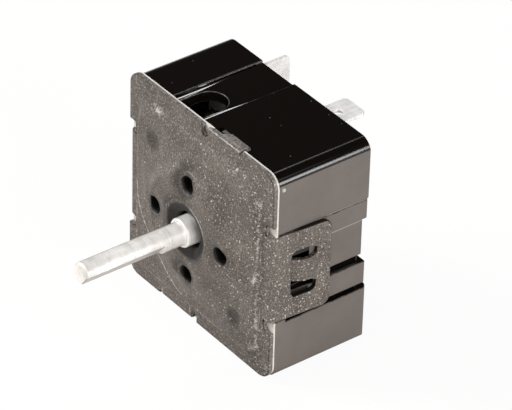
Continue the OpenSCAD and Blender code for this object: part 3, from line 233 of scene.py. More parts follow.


# Zinc-plated rolled steel, dulled in store: a warm grey with a cloudy stain, fine grit, pale
# specks and a few scratches, ridges worn light and painted highlight, painted shade in dents, holes and
# recesses, paler sheared edges

zinc = {
    "patterns": {      # size in mm, detail and roughness of each pattern
        "stain": (7.0, 5, 0.62), "patches": (1.6, 4, 0.7), "worn": (0.7, 4, 0.8), "torn": (0.5, 3, 0.7),
        "grit": (0.34, 2, 0.75),        # drawn coarser than the plating's crystals so that it shows
    },
    "stain": [(0.3, "#4C4540"), (0.5, "#5F5751"), (0.72, "#726A64")],
    "layers": (         # patches, pits and bright tips: the pattern, the share by its grey, the colour
        ("patches", [(0.38, 0.0), (0.7, 0.4)], "#726A64"),
        ("grit", [(0.3, 0.85), (0.5, 0.0)], "#3D3733"),
        ("grit", [(0.54, 0.0), (0.72, 0.9)], "#A8A29C")),
    "dust": (       # mm; the least random number with a speck falls between two places across, in m
        {"spacing": 1.1, "r": 0.15, "share": 1.0, "fade": (0.6, 1.3),
         "between": (-0.012, 0.016), "least": (0.75, 0.2)},
        {"spacing": 0.6, "r": 0.13, "share": 0.9, "fade": (0.6, 1.4),
         "between": (0.013, 0.024), "least": (0.95, 0.5)},
    ),
    "dustColour": "#D2CEC9",
    "scratch": (0.3, 0.3, 7.0), "scratchTurn": 28,      # mm, degrees
    "scratches": [(0.72, 0.0), (0.77, 0.8)], "scratchColour": "#A39D97",
    "breakup": [(0.46, 1.0), (0.6, 0.0)], "wornAndHighlightColour": "#BDB8B2",
    "sheared": [(0.38, "#5F5953"), (0.62, "#A7A19B")],
    "paintedShadeColour": "#15120F",
    "metallic": 0.45, "dulling": (0.35, 0.65), "roughness": (0.44, 0.62), "relief": 0.06,       # mm
}

finish, add, shader, place = newFinish("zinc plated rolled steel")
patterns = {}
for name, (size, detail, rough) in zinc["patterns"].items():
    inputs = {"Vector": place, "Scale": perMm(size), "Detail": detail, "Roughness": rough}
    patterns[name] = add("TexNoise", inputs)
marked = {}
for name in ("rubbed", "cutEdge", "dent"):
    marked[name] = add("Attribute", attribute_name=name).node.outputs["Fac"]
layers = [(add("ValToRGB", {"Fac": patterns[name]}, stops), colour)
          for name, stops, colour in zinc["layers"]]
across = add("SeparateXYZ", {0: place}).node.outputs["X"]
for dust in zinc["dust"]:
    (start, end), (first, last) = dust["between"], dust["least"]
    least = add("MapRange", {
        "Value": across, "From Min": start, "From Max": end, "To Min": first, "To Max": last})
    layers.append((specks(add, place, dust, least), zinc["dustColour"]))
turned = add("Mapping", {"Vector": place, "Rotation": (0, radians(zinc["scratchTurn"]), 0),
                         "Scale": [perMm(size) for size in zinc["scratch"]]})
streaks = add("TexNoise", {"Vector": turned, "Scale": 1, "Detail": 1, "Distortion": 0.3})
scratches = add("ValToRGB", {"Fac": streaks}, zinc["scratches"])
# light wear that is also a painted highlight, from the attribute, broken up by noise
breakup = add("ValToRGB", {"Fac": patterns["worn"]}, zinc["breakup"])
worn = add("Math", {0: marked["rubbed"], 1: breakup}, operation="SUBTRACT", use_clamp=True)
sheared = add("ValToRGB", {"Fac": patterns["torn"]}, zinc["sheared"])
# wear with painted highlight on ridges and bends, pale cut metal, and painted shade in dents, holes and cut
# faces
layers += [(scratches, zinc["scratchColour"]), (worn, zinc["wornAndHighlightColour"]),
           (marked["cutEdge"], sheared), (marked["dent"], zinc["paintedShadeColour"])]
mixed = add("ValToRGB", {"Fac": patterns["stain"]}, zinc["stain"])
for share, colour in layers:
    mixed = add("Mix", {"Factor": share, 6: mixed, 7: colour}, data_type="RGBA")
(start, end), (low, high) = zinc["dulling"], zinc["roughness"]
dull = add("MapRange", {
    "Value": patterns["patches"], "From Min": start, "From Max": end, "To Min": low, "To Max": high})
bump = add("Bump", {"Strength": 0.4, "Distance": zinc["relief"] / 1000, "Height": patterns["grit"]})
setInputs(shader, {"Base Color": mixed, "Metallic": zinc["metallic"], "Roughness": dull, "Normal": bump})
finishes = {"zinc_steel": finish}


# Compression-moulded black phenolic: a polished, nearly black top and edges, satin outer faces
# painted warm grey as painted light, black recesses, painted highlight lines on the ledges and the pip, and a
# little dust

phenolic = {
    "gloss": "#0D0907", "satin": [(0.3, "#5F5853"), (0.7, "#69625D")],
    "glossRoughness": 0.15, "satinRoughness": 0.5,
    "cloudSize": 9.0, "grainSize": 0.35, "relief": 0.03,        # mm
    "dust": {"spacing": 2.0, "r": 0.12, "share": 0.6, "fade": (0.6, 1.3)}, "leastDust": 0.6,   # mm
    "dustColour": "#8F8882",
    "sideX": 0.0222, "backY": 0.0251, "baseZ": -0.0229,     # m, where the satin outer faces begin
    "upright": [(0.02, 1.0), (0.08, 0.0)],      # by how far a face looks up
    "pocketTop": 0.009, "pocketRear": 0.0128,   # m: black round the latch pockets
    "ledges": (0.0100, 0.0056), "ledgeLine": 0.00011, "ledgeStart": 0.0165,     # m: thin painted highlight lines along the ledges
    "pip": (0.0225, 0.00605, 0.0202), "pipR": 0.0005, "pipHighlightColour": "#B5B0AA",   # m
    "rubSize": 1.4, "rubbed": [(0.35, "#0D0907"), (0.62, "#514B47")], "rubbedRoughness": 0.3,   # mm
}

finish, add, shader, place = newFinish("compression moulded black phenolic")
at = add("SeparateXYZ", {0: place}).node.outputs
normal = add("NewGeometry").node.outputs["True Normal"]
lift = add("SeparateXYZ", {0: normal}).node.outputs["Z"]
away = add("Math", {0: at["X"]}, operation="ABSOLUTE")
high = add("Math", {0: at["Z"]}, operation="ABSOLUTE")
onSide = add("Math", {0: away, 1: phenolic["sideX"]}, operation="GREATER_THAN")
onBack = add("Math", {0: at["Y"], 1: phenolic["backY"]}, operation="GREATER_THAN")
onBase = add("Math", {0: at["Z"], 1: phenolic["baseZ"]}, operation="LESS_THAN")
outer = add("Math", {0: onSide, 1: onBack}, operation="MAXIMUM")
outer = add("Math", {0: outer, 1: onBase}, operation="MAXIMUM")
upright = add("ValToRGB", {"Fac": lift}, phenolic["upright"])
clearUp = add("Math", {0: high, 1: phenolic["pocketTop"]}, operation="GREATER_THAN")
clearBack = add("Math", {0: at["Y"], 1: phenolic["pocketRear"]}, operation="GREATER_THAN")
clear = add("Math", {0: clearUp, 1: clearBack}, operation="MAXIMUM")
# outer faces that don't look up get a satin roughness and a warm grey, and the grey is painted light
satin = add("Math", {0: outer, 1: upright}, operation="MULTIPLY")
satin = add("Math", {0: satin, 1: clear}, operation="MULTIPLY")
cloud = add("TexNoise", {
    "Vector": place, "Scale": perMm(phenolic["cloudSize"]), "Detail": 4, "Roughness": 0.6})
layers = [(satin, add("ValToRGB", {"Fac": cloud}, phenolic["satin"]))]
# thin painted highlight lines, in the dust colour, along the two ledges on the sides
behind = add("Math", {0: at["Y"], 1: phenolic["ledgeStart"]}, operation="GREATER_THAN")
ledgeHighlightSide = add("Math", {0: behind, 1: onSide}, operation="MULTIPLY")
for level in phenolic["ledges"]:
    onLine = add("Math", {0: at["Z"], 1: level, 2: phenolic["ledgeLine"]}, operation="COMPARE")
    line = add("Math", {0: onLine, 1: ledgeHighlightSide}, operation="MULTIPLY")
    layers.append((line, phenolic["dustColour"]))
# the pip is painted pale, a painted highlight
toPip = add("VectorMath", {0: place, 1: phenolic["pip"]}, operation="DISTANCE")
onPip = add("Math", {0: toPip, 1: phenolic["pipR"]}, operation="LESS_THAN")
layers.append((onPip, phenolic["pipHighlightColour"]))
dusty = specks(add, place, phenolic["dust"], phenolic["leastDust"])
layers.append((dusty, phenolic["dustColour"]))
mixed = phenolic["gloss"]
for share, colour in layers:
    mixed = add("Mix", {"Factor": share, 6: mixed, 7: colour}, data_type="RGBA")
hidden = add("Math", {0: onSide, 1: clear}, operation="SUBTRACT", use_clamp=True)
unpolished = add("Math", {0: satin, 1: hidden}, operation="MAXIMUM")
sheen = add("MapRange", {
    "Value": unpolished, "To Min": phenolic["glossRoughness"], "To Max": phenolic["satinRoughness"]})
grain = add("TexNoise", {
    "Vector": place, "Scale": perMm(phenolic["grainSize"]), "Detail": 2, "Roughness": 0.6})
bump = add("Bump", {"Strength": 0.15, "Distance": phenolic["relief"] / 1000, "Height": grain})
setInputs(shader, {"Base Color": mixed, "Roughness": sheen, "Normal": bump})
finishes["black_thermoset"] = finish

# the same moulding on its eased edges, rubbed dull and greyish, which also paints a highlight along them
edgeWearAndHighlightPhenolic, add, shader, place = newFinish("black phenolic worn and painted with highlight at its edges")
rub = add("TexNoise", {
    "Vector": place, "Scale": perMm(phenolic["rubSize"]), "Detail": 3, "Roughness": 0.7})
tone = add("ValToRGB", {"Fac": rub}, phenolic["rubbed"])
setInputs(shader, {"Base Color": tone, "Roughness": phenolic["rubbedRoughness"]})


# The other finishes have a base tone that clouds over a few millimetres, and a fine relief: the
# lines that the rolls or the tool left in a metal, the fibres or the grit of an insulator.
# What is finer than 0.3 mm doesn't show in the render, so it is drawn at least that coarse

usualMetal = {"grainShare": 0.5, "metallic": 1.0}
metals = {      # cloud and grain (across, along the shaft and up) in mm, and depth too
    "tinned_brass": {       # tin plate on brass strip: soft white metal, satin, hardly mirroring
        "name": "satin tin plate on brass", "tones": ("#DCD9D8", "#F2F0EF"), "cloud": 2.5,
        "grain": (0.35, 6.0, 0.35), "depth": 0.01, "metallic": 0.25, "roughness": 0.5},
    "spring_copper": {      # beryllium copper strip: warm orange brown, smooth from the rolls
        "name": "rolled beryllium copper", "tones": ("#9A5F3A", "#C07D50"), "cloud": 4.0,
        "grain": (5.0, 0.3, 0.3), "depth": 0.006, "roughness": 0.32},
    "silver_alloy": {       # silver cadmium oxide contact: pale, a little matt and yellowed
        "name": "pressed silver alloy", "tones": ("#B9B7B0", "#D8D6D0"), "cloud": 0.8,
        "grain": (0.4, 0.4, 0.4), "depth": 0.006, "roughness": 0.4},
    "brass": {              # turned free-cutting brass, darkened to a brown as painted shade, since it sits in the case's shaded slot, with fine tool marks
        "name": "turned brass, darkened as painted shade", "tones": ("#3F3424", "#6B5838"), "cloud": 1.5,
        "grain": (3.0, 3.0, 0.3), "depth": 0.01, "roughness": 0.36},
    "bright_steel": {       # turned and bright-plated free-cutting steel: near white, with rings
        "name": "turned bright plated steel", "tones": ("#CFCBC6", "#F8F5F1"), "cloud": 5.0,
        "grain": (12.0, 0.36, 12.0), "grainShare": 0.28, "depth": 0.035, "metallic": 0.3, "roughness": 0.4},
    "spring_steel": {       # hard drawn spring steel: grey, smooth, with a trace of oil
        "name": "drawn spring steel", "tones": ("#77736F", "#97938F"), "cloud": 1.2,
        "grain": (0.5, 3.0, 0.5), "depth": 0.005, "roughness": 0.33},
    "bimetal": {            # rolled bimetal strip: straw tinted from the heater beside it
        "name": "rolled bimetal", "tones": ("#85796A", "#A59B8E"), "cloud": 3.0,
        "grain": (6.0, 0.35, 0.35), "depth": 0.006, "roughness": 0.4},
    "heater_wire": {        # drawn nickel chromium wire: dark grey oxide
        "name": "oxidised nickel chromium wire", "tones": ("#5C5854", "#7F7A75"), "cloud": 0.8,
        "grain": (0.4, 0.4, 0.4), "depth": 0.004, "roughness": 0.5},
}
usualInsulator = {"grainShare": 0.4}
insulators = {      # in mm too
    "paper_sheet": {        # calendered insulating paper: white, matt, with short pale fibres
        "name": "white insulating paper", "tones": ("#C4BFB8", "#DAD6CF"), "cloud": 3.0,
        "grain": (2.0, 2.0, 0.4), "depth": 0.03, "roughness": 0.85},
    "cream_thermoset": {    # moulded urea: cream and smooth
        "name": "moulded cream urea", "tones": ("#CFC5AC", "#DDD4BE"), "cloud": 4.0,
        "grain": (0.5, 0.5, 0.5), "depth": 0.01, "roughness": 0.42},
    "mica_board": {         # pressed mica board: silvery brown flakes
        "name": "pressed mica board", "tones": ("#8F7F62", "#BBAE93"), "cloud": 1.2,
        "grain": (0.6, 0.6, 0.3), "depth": 0.02, "roughness": 0.5},
    "ceramic": {            # fired steatite: chalky white with a faint grit
        "name": "fired steatite", "tones": ("#DCD7CA", "#ECE8DE"), "cloud": 1.0,
        "grain": (0.35, 0.35, 0.35), "depth": 0.015, "roughness": 0.6},
}
turnedAway = {"share": [(0.6, 0.0), (0.92, 0.75)], "colour": "#4A4642"}     # painted shade where a metal turns away from the view
clouding = {        # the greys over which the tones and a metal's roughness change, and that change
    "tones": (0.38, 0.6), "dulling": (0.3, 0.7), "duller": (-0.06, 0.08),
}


def cloudedFinish(look, cloudKind, grainKind):
    finish, add, shader, place = newFinish(look["name"])
    cloud = add("TexNoise", {"Vector": place, "Scale": perMm(look["cloud"]), **cloudKind})
    stretched = add("Mapping", {"Vector": place, "Scale": [perMm(s) for s in look["grain"]]})
    grain = add("TexNoise", {"Vector": stretched, "Scale": 1, **grainKind})
    both = add("Mix", {0: look["grainShare"], 2: cloud, 3: grain}, data_type="FLOAT")
    tone = add("ValToRGB", {"Fac": both}, zip(clouding["tones"], look["tones"]))
    bump = add("Bump", {"Strength": 0.5, "Distance": look["depth"] / 1000, "Height": grain})
    setInputs(shader, {"Normal": bump})
    return finish, add, shader, cloud, tone


for slot, values in metals.items():
    look = usualMetal | values
    finish, add, shader, cloud, tone = cloudedFinish(
        look, {"Detail": 5, "Roughness": 0.65}, {"Detail": 2, "Roughness": 0.6})
    facing = add("LayerWeight", {"Blend": 0.5}).node.outputs["Facing"]
    grazingShade = add("ValToRGB", {"Fac": facing}, turnedAway["share"])
    edged = add("Mix", {"Factor": grazingShade, 6: tone, 7: turnedAway["colour"]}, data_type="RGBA")
    start, end = clouding["dulling"]
    low, high = (look["roughness"] + more for more in clouding["duller"])
    dull = add("MapRange", {
        "Value": cloud, "From Min": start, "From Max": end, "To Min": low, "To Max": high})
    setInputs(shader, {"Base Color": edged, "Metallic": look["metallic"], "Roughness": dull})
    finishes[slot] = finish
for slot, values in insulators.items():
    look = usualInsulator | values
    finish, _, shader, _, tone = cloudedFinish(
        look, {"Detail": 4, "Roughness": 0.6}, {"Detail": 3, "Roughness": 0.7})
    setInputs(shader, {"Base Color": tone, "Roughness": look["roughness"]})
    finishes[slot] = finish

slotOf = {part["node"]: part["material_slot"] for part in frame["record"]["subparts"]}
for name, piece in nodes.items():
    finish = finishes[slotOf[name]]
    if not piece.material_slots:
        piece.data.materials.append(finish)
    for holder in piece.material_slots:
        holder.material = finish
print("finishes given:", len(finishes))


# Moulded, turned and cut pieces with eased edges: each is a copy of its solid whose sharp
# edges are rounded, so that they catch the light as real ones do

easedEdges = {      # mm
    "case": 0.2, "line_terminal_1": 0.08, "line_terminal_2": 0.08, "load_terminal_1": 0.08,
    "load_terminal_2": 0.08, "pilot_terminal": 0.08, "shaft": 0.1, "thrust_washer": 0.06,
    "follower_lever": 0.15, "cam": 0.12, "calibration_screw": 0.1, "pivot_pin": 0.1,
}
easing = {
    "flatWithin": 0.4, "sharpFrom": 28,     # degrees between neighbouring faces
    "share": 0.42, "least": 0.06,           # of the face beside an edge, and mm
    "segments": 3, "alongside": 0.8,        # cosine
}
caseEdges = {       # mm: crisper round the channel and the opening, left sharp under the tabs
    "lip": 0.16, "lipHalfW": 15.0, "lipAbove": 22.3, "tabAbove": 21.9, "tabBefore": 7.0,
    "pocketHalfH": 7.0, "pocketBefore": 13.2, "pocketPast": 19.0,
}
shoulder = {"outside": 0.0031, "before": 0.0013, "narrowed": 0.86}      # m
bodyOf = {name: body for body, members in frame["record"]["behaviour"]["bodies"].items() for name in members}


def narrowShoulder(work):
    # the shaft's shoulder is slimmer where it shows than its solid, as in the photo
    cut = shoulder["before"]
    every = work.verts[:] + work.edges[:] + work.faces[:]
    bmesh.ops.bisect_plane(work, geom=every, dist=1e-7, plane_co=(0, cut, 0), plane_no=(0, 1, 0))
    for corner in work.verts:
        if corner.co.y < cut + 1e-6 and hypot(corner.co.x, corner.co.z) > shoulder["outside"]:
            corner.co.x *= shoulder["narrowed"]
            corner.co.z *= shoulder["narrowed"]


def caseEdgeWidth(a, b):
    outX, outZ = sorted((abs(a.x), abs(b.x))), sorted((abs(a.z), abs(b.z)))
    behind = max(a.y, b.y)
    underTab = outZ[0] > caseEdges["tabAbove"] and behind < caseEdges["tabBefore"]
    inPocket = outZ[1] < caseEdges["pocketHalfH"] and outX[0] > caseEdges["pocketPast"]
    if underTab or (inPocket and behind < caseEdges["pocketBefore"]):
        return 0
    onLip = outX[1] < caseEdges["lipHalfW"] and min(a.z, b.z) > caseEdges["lipAbove"]
    return caseEdges["lip"] if onLip else easedEdges["case"]


def smoothFaces(piece):
    # all are shaded smooth, and weighted normals keep the flat ones flat
    for face in piece.data.polygons:
        face.use_smooth = True
    weighted = piece.modifiers.new("flat faces stay flat", "WEIGHTED_NORMAL")
    weighted.keep_sharp = True


def easedCopy(name, width):
    work = bmesh.new()
    work.from_mesh(nodes[name].data)
    bmesh.ops.remove_doubles(work, verts=work.verts, dist=1e-7)
    bmesh.ops.dissolve_limit(work, angle_limit=radians(easing["flatWithin"]),
                             verts=work.verts, edges=work.edges)
    if name == "shaft":
        narrowShoulder(work)
    weight = work.edges.layers.float.new("bevel_weight_edge")
    sharpFrom = radians(easing["sharpFrom"])
    for edge in work.edges:
        if len(edge.link_faces) != 2 or abs(edge.calc_face_angle_signed()) < sharpFrom:
            continue
        edge.smooth = False
        if edge.calc_face_angle_signed() < 0:       # an inside corner stays sharp
            continue
        a, b = (corner.co * 1000 for corner in edge.verts)
        room = caseEdgeWidth(a, b) if name == "case" else width
        run = (b - a).normalized()
        for corner in edge.verts:       # no wider than the neighbouring faces allow
            for other in corner.link_edges:
                if other is not edge and set(other.link_faces) & set(edge.link_faces):
                    c, d = (end.co * 1000 for end in other.verts)
                    if abs((d - c).normalized().dot(run)) < easing["alongside"]:
                        room = min(room, easing["share"] * (d - c).length)
        if room >= easing["least"]:
            edge[weight] = room / width
            edge.smooth = True
    mesh = bpy.data.meshes.new(name)
    work.to_mesh(mesh)
    work.free()
    piece = addObject(name + "_eased", mesh)
    mesh.materials.append(finishes[slotOf[name]])
    if name == "case":
        mesh.materials.append(edgeWearAndHighlightPhenolic)
    bevel = piece.modifiers.new("eased edges", "BEVEL")
    bevel.width = width / 1000
    bevel.segments = easing["segments"]
    bevel.limit_method = "WEIGHT"
    bevel.use_clamp_overlap = False
    bevel.material = 1 if name == "case" else -1
    smoothFaces(piece)
    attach(piece, bodyOf[name])
    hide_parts(name)
    return piece


eased = [easedCopy(name, width) for name, width in easedEdges.items()]
print("edges eased on", len(eased), "pieces")


def wallFaces(rings):
    # four-cornered faces from each closed ring to the next
    return [[low[k - 1], low[k], high[k], high[k - 1]]
            for low, high in zip(rings, rings[1:]) for k in range(len(low))]


def solidMesh(name, points, faces):
    mesh = bpy.data.meshes.new(name)
    mesh.from_pydata([point * 0.001 for point in points], [], faces)
    work = bmesh.new()
    work.from_mesh(mesh)
    bmesh.ops.recalc_face_normals(work, faces=work.faces)
    work.to_mesh(mesh)
    work.free()
    return mesh


# Return spring: wire wound round the shaft's drive end, its end turns closed

spring = {
    "wireR": 0.25, "meanR": 4.2, "turns": 3, "closedTurns": 0.5,    # mm; turns are the open ones
    "steps": 24, "sides": 10,       # points to a turn, and round the wire
    "seatY": 9.7, "travel": 2.0,    # mm: the cam's face, and how far the shaft is pushed
}


def buildSpring():
    front, rear = (end[1] * 1000 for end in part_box("return_spring"))
    wireR, meanR, closed = spring["wireR"], spring["meanR"], spring["closedTurns"]
    low, high = front + wireR, rear - wireR
    points, rings = [], []
    for k in range(round((spring["turns"] + 2 * closed) * spring["steps"]) + 1):
        turn = k / spring["steps"]
        a = 2 * pi * turn
        y = low + (high - low) * min(1, max(0, (turn - closed) / spring["turns"]))
        rings.append([len(points) + j for j in range(spring["sides"])])
        for j in range(spring["sides"]):
            b = 2 * pi * j / spring["sides"]
            r = meanR + wireR * cos(b)
            points.append(Vector((r * cos(a), y + wireR * sin(b), r * sin(a))))
    mesh = solidMesh("returnSpring", points, [rings[0]] + wallFaces(rings) + [rings[-1]])
    for face in mesh.polygons:
        face.use_smooth = len(face.vertices) == 4
    piece = addObject("returnSpring", mesh)
    mesh.materials.append(finishes[slotOf["return_spring"]])
    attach(piece, bodyOf["return_spring"])
    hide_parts("return_spring")
    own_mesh(piece)


buildSpring()
print("return spring wound")


# Mounting plate: one sheet, laid out flat, pressed and folded

sheet = {       # mm
    "thick": 0.95,
    "halfW": 23.0, "halfH": 23.69, "cornerR": 3.0,
    "rimY": 3.5,            # the rim, behind the mounting face at Y = 0
    "panelHalfW": 19.7, "panelHalfH": 20.1, "panelR": 4.5, "panelRise": 1.2,
    "wall": ((0.25, 0.75), (1.1, 3.2)),     # the panel's: start and width, crisp and at its softer top
    "softFrom": 11, "softOver": 7,
    "bossRise": 2.3, "bossFlatR": 11.4, "bossSlope": 7.2, "bossShoulder": 3.0, "slopeShare": 0.45,
    "bendR": 1.4,
    "tabBottom": -10.0, "tabTop": 9.92, "tabStraight": 12.35, "tabSpring": 3.6, "tabCornerR": 2.0,
    "notchH": 2.4, "notchDepth": 2.1, "notchR": 0.9,
    "windowFront": 3.3, "windowBack": 9.1, "windowHalfH": 5.3, "windowR": 1.6,  # past the bend
    "windowFrontR": 1.0, "tongueHalfH": 2.5, "tongueTip": 3.36, "tongueR": 0.6, "tongueStretch": 1.16,
    "tongueStride": 0.05, "tongueSpare": 1.2, "crease": 6.36, "creaseWide": 0.7, "lean": 28.6,
    "edgeTabStart": 2.0, "edgeTabEnd": 11.975, "edgeTabR": 1.1, "edgeBendR": 0.5,
    "edgeNotchW": 1.6, "relief": 0.5,
    "edgeTabSteps": ((2.0, 0.45), (3.05, 0.85), (5.7, 2.35)),   # each one's start, and its run past the bend
    "holeCircleR": 10.5, "lipR": 2.65, "boreR": 1.93, "collarR": 2.45, "collarDepth": 2.6,
    "lipRadii": (2.5, 2.36, 2.22, 2.1), "boreRound": (0.07, 0.02, 0.08), "boreEnd": 0.85,
    "threadR": 1.75, "threadRoot": 0.02, "threadCrest": -0.13, "threadPitch": 0.35, "threadFront": 1.0,
    "threadTurns": 4, "threadEnd": 0.12, "collarFoot": 0.35,
    "dishDepth": 0.42, "dishR": 4.8,        # the sheet sinks softly round each drawn hole
    "wellR": 6.7, "lipDepth": 0.9,      # the depth to which a wall follows the sheet round it
    "wellProfile": (        # radius and depth: the sunk bearing, down its bore and up its outside
        (6.5, 0.01), (6.2, 0.05), (5.9, 0.13), (5.6, 0.26), (5.3, 0.42), (5.0, 0.58), (4.7, 0.72),
        (4.4, 0.83), (4.15, 0.92), (3.95, 1.03), (3.78, 1.2), (3.67, 1.44), (3.62, 1.8),
        (3.61, 4.1), (4.41, 4.1), (4.41, 2.98), (5.9, 2.95), (6.3, 2.8), (6.5, 2.4)),
    "dimples": ((-13.4, 12.5), (13.3, -13.5)), "dimpleR": 2.7, "dimpleDepth": 0.45,
    "waviness": 0.045, "waveSize": 8, "wavePhase": 3.1,
    "rolledEdge": 0.22,     # the front of a sheared edge is drawn over by the die
}
net = {         # mm: where the mesh of the flat pattern has its points
    "step": 0.5, "rowShare": 0.866,         # triangles with near equal sides
    "arc": 0.35, "smallArc": 0.25, "tipArc": 0.2,
    "outline": 0.42, "window": 0.35, "insideEdge": 0.16, "past": 3,
    "wellPoints": 96, "holePoints": 48, "holeRings": (0.18, 0.42, 0.75, 1.15, 1.6), "growth": 0.6,
    "dimpleRings": 8, "dimpleStep": 0.4,
    "footRings": (-0.54, -0.27, 0, 0.27, 0.54), "footPoints": 64,
    "ridgeRings": (-1.15, -0.9, -0.63, -0.35, -0.07, 0.2, 0.46), "ridgeStep": 0.45,
    "bendRows": (11, 41, 0.47), "edgeRows": (8, 0.28, 24, 0.4), "firstStep": 0.4,     # rows, points, steps
    "nearest": 0.26, "nearestToEdge": 0.1, "leastMitre": 0.5,       # mm, mm and a cosine
}


def ease(t):
    t = min(1.0, max(0.0, t))
    return t * t * (3 - 2 * t)


def fade(value, start, width):
    # 1 up to start, and 0 from start + width on
    return 1 - ease((value - start) / width)


def bell(distance, width):
    return exp(-(distance / width) ** 2)


def arcPoints(cu, cw, r, start, end, step=net["arc"]):
    count = max(2, round(abs(radians(end - start)) * r / step))
    return [(cu + r * cos(radians(start + (end - start) * i / count)),
             cw + r * sin(radians(start + (end - start) * i / count))) for i in range(count + 1)]


def circlePoints(cu, cw, r, count, turn=0):
    angles = [2 * pi * (k + turn) / count for k in range(count)]
    return [(cu + r * cos(a), cw + r * sin(a)) for a in angles]


halfW, halfH, rimY, thick = (sheet[name] for name in ("halfW", "halfH", "rimY", "thick"))
tabBottom, tabTop = sheet["tabBottom"], sheet["tabTop"]
boreR, lipR, wellR = (sheet[name] for name in ("boreR", "lipR", "wellR"))
bendLength = sheet["bendR"] * radians(90 - sheet["tabSpring"])
foldU = halfW - sheet["bendR"]
foldW = halfH - sheet["edgeBendR"]
tabStartU = foldU + bendLength                      # where the side tab runs straight
edgeBendLength = sheet["edgeBendR"] * pi / 2


def topEdge():
    # left to right along the top of the flat pattern, with its notch and tab
    cu, cw, r = halfW - sheet["cornerR"], halfH - sheet["cornerR"], sheet["cornerR"]
    (start, stub), (clear, low), (full, straight) = sheet["edgeTabSteps"]
    stub, low, top = (foldW + edgeBendLength + run for run in (stub, low, straight))
    end, er, relief = sheet["edgeTabEnd"], sheet["edgeTabR"], sheet["relief"]
    notch, deep = start - sheet["edgeNotchW"], halfH - sheet["notchDepth"]
    nr = (start - notch) / 2 - 0.01
    path = arcPoints(-cu, cw, r, 180, 90) + [(notch, halfH)]
    path += arcPoints(notch + nr, deep + nr, nr, 180, 270, net["smallArc"])
    path += arcPoints(start - nr, deep + nr, nr, 270, 360, net["smallArc"])
    path += [(start, stub), (clear, stub), (clear, low), (full, low)]
    path += arcPoints(full + er, top - er, er, 180, 90)
    path += [(end, top), (end, foldW), (end + relief, foldW), (end + relief, halfH)]
    return path + arcPoints(cu, cw, r, 90, 0)


def sideEdge():
    # downwards along the right of the flat pattern: notch, side tab, notch
    r, nr = sheet["tabCornerR"], sheet["notchR"]
    notchU, far = halfW - sheet["notchDepth"], tabStartU + sheet["tabStraight"]
    upper, lower = tabTop + sheet["notchH"], tabBottom - sheet["notchH"]
    path = [(halfW, upper)] + arcPoints(notchU + nr, upper - nr, nr, 90, 180, net["smallArc"])
    path += [(notchU, tabTop)] + arcPoints(far - r, tabTop - r, r, 90, 0)
    path += arcPoints(far - r, tabBottom + r, r, 0, -90)
    path += [(notchU, tabBottom)] + arcPoints(notchU + nr, lower + nr, nr, 180, 270, net["smallArc"])
    return path + [(halfW, lower)]


def windowEdge():
    # the side window, right-hand side, round its latch tongue
    front, rear = tabStartU + sheet["windowFront"], tabStartU + sheet["windowBack"]
    tip, tr, fr = tabStartU + sheet["tongueTip"], sheet["tongueR"], sheet["windowFrontR"]
    h, th = sheet["windowHalfH"], sheet["tongueHalfH"]
    r = min(sheet["windowR"], (h - th) / 2 - 0.02)
    path = arcPoints(front + fr, h - fr, fr, 90, 180) + arcPoints(front + fr, -h + fr, fr, 180, 270)
    path += arcPoints(rear - r, -h + r, r, -90, 0) + arcPoints(rear - r, -th - r, r, 0, 90)
    path += arcPoints(tip + tr, -th + tr, tr, 270, 180, net["tipArc"])
    path += arcPoints(tip + tr, th - tr, tr, 180, 90, net["tipArc"])
    return path + arcPoints(rear - r, th + r, r, -90, 0) + arcPoints(rear - r, h - r, r, 0, 90)


def resample(path, step):
    # a closed path with its corners kept and long runs divided
    made = []
    for a, b in zip(path, path[1:] + path[:1]):
        length = dist(a, b)
        if length < 1e-6:
            continue
        count = max(1, round(length / step))
        made += [(a[0] + (b[0] - a[0]) * i / count, a[1] + (b[1] - a[1]) * i / count) for i in range(count)]
    return made


def inset(path, amount):
    # moves a clockwise closed path to its right-hand side, mitred at corners
    made = []
    for i, here in enumerate(path):
        before, after = path[i - 1], path[(i + 1) % len(path)]
        a = Vector((here[0] - before[0], here[1] - before[1])).normalized()
        b = Vector((after[0] - here[0], after[1] - here[1])).normalized()
        na, nb = Vector((a.y, -a.x)), Vector((b.y, -b.x))
        n = na + nb
        n = n.normalized() if n.length > 1e-6 else na
        mitre = max(net["leastMitre"], n.dot(na))
        made.append((here[0] + n.x * amount / mitre, here[1] + n.y * amount / mitre))
    return made


def panelDistance(u, w):
    # signed distance to the panel's rounded outline, negative inside
    qu, qw = abs(u) - sheet["panelHalfW"] + sheet["panelR"], abs(w) - sheet["panelHalfH"] + sheet["panelR"]
    return hypot(max(qu, 0), max(qw, 0)) + min(max(qu, qw), 0) - sheet["panelR"]


screwHoles = [(sheet["holeCircleR"], 0), (0, sheet["holeCircleR"]),
              (-sheet["holeCircleR"], 0), (0, -sheet["holeCircleR"])]


def dish(r):
    return sheet["dishDepth"] * fade(r, boreR, sheet["dishR"] - boreR)


def pressedY(u, w):
    # how far the sheet's front lies behind the mounting face
    soft = ease((w - sheet["softFrom"]) / sheet["softOver"])
    wallIn, wallWide = (crisp + (gentle - crisp) * soft for crisp, gentle in sheet["wall"])
    y = rimY - sheet["panelRise"] * fade(panelDistance(u, w), wallIn - wallWide, wallWide)
    out = hypot(u, w) - sheet["bossFlatR"]
    slope, shoulder = ease(out / sheet["bossSlope"]), ease(out / sheet["bossShoulder"])
    y -= sheet["bossRise"] * (1 - sheet["slopeShare"] * slope - (1 - sheet["slopeShare"]) * shoulder)
    for cu, cw in sheet["dimples"]:
        y += sheet["dimpleDepth"] * fade(hypot(u - cu, w - cw), 0, sheet["dimpleR"])
    for cu, cw in screwHoles:
        y += dish(hypot(u - cu, w - cw))
    wave = noise.noise(Vector((u / sheet["waveSize"], w / sheet["waveSize"], sheet["wavePhase"])))
    return y + sheet["waviness"] * (0.5 + 0.5 * wave)


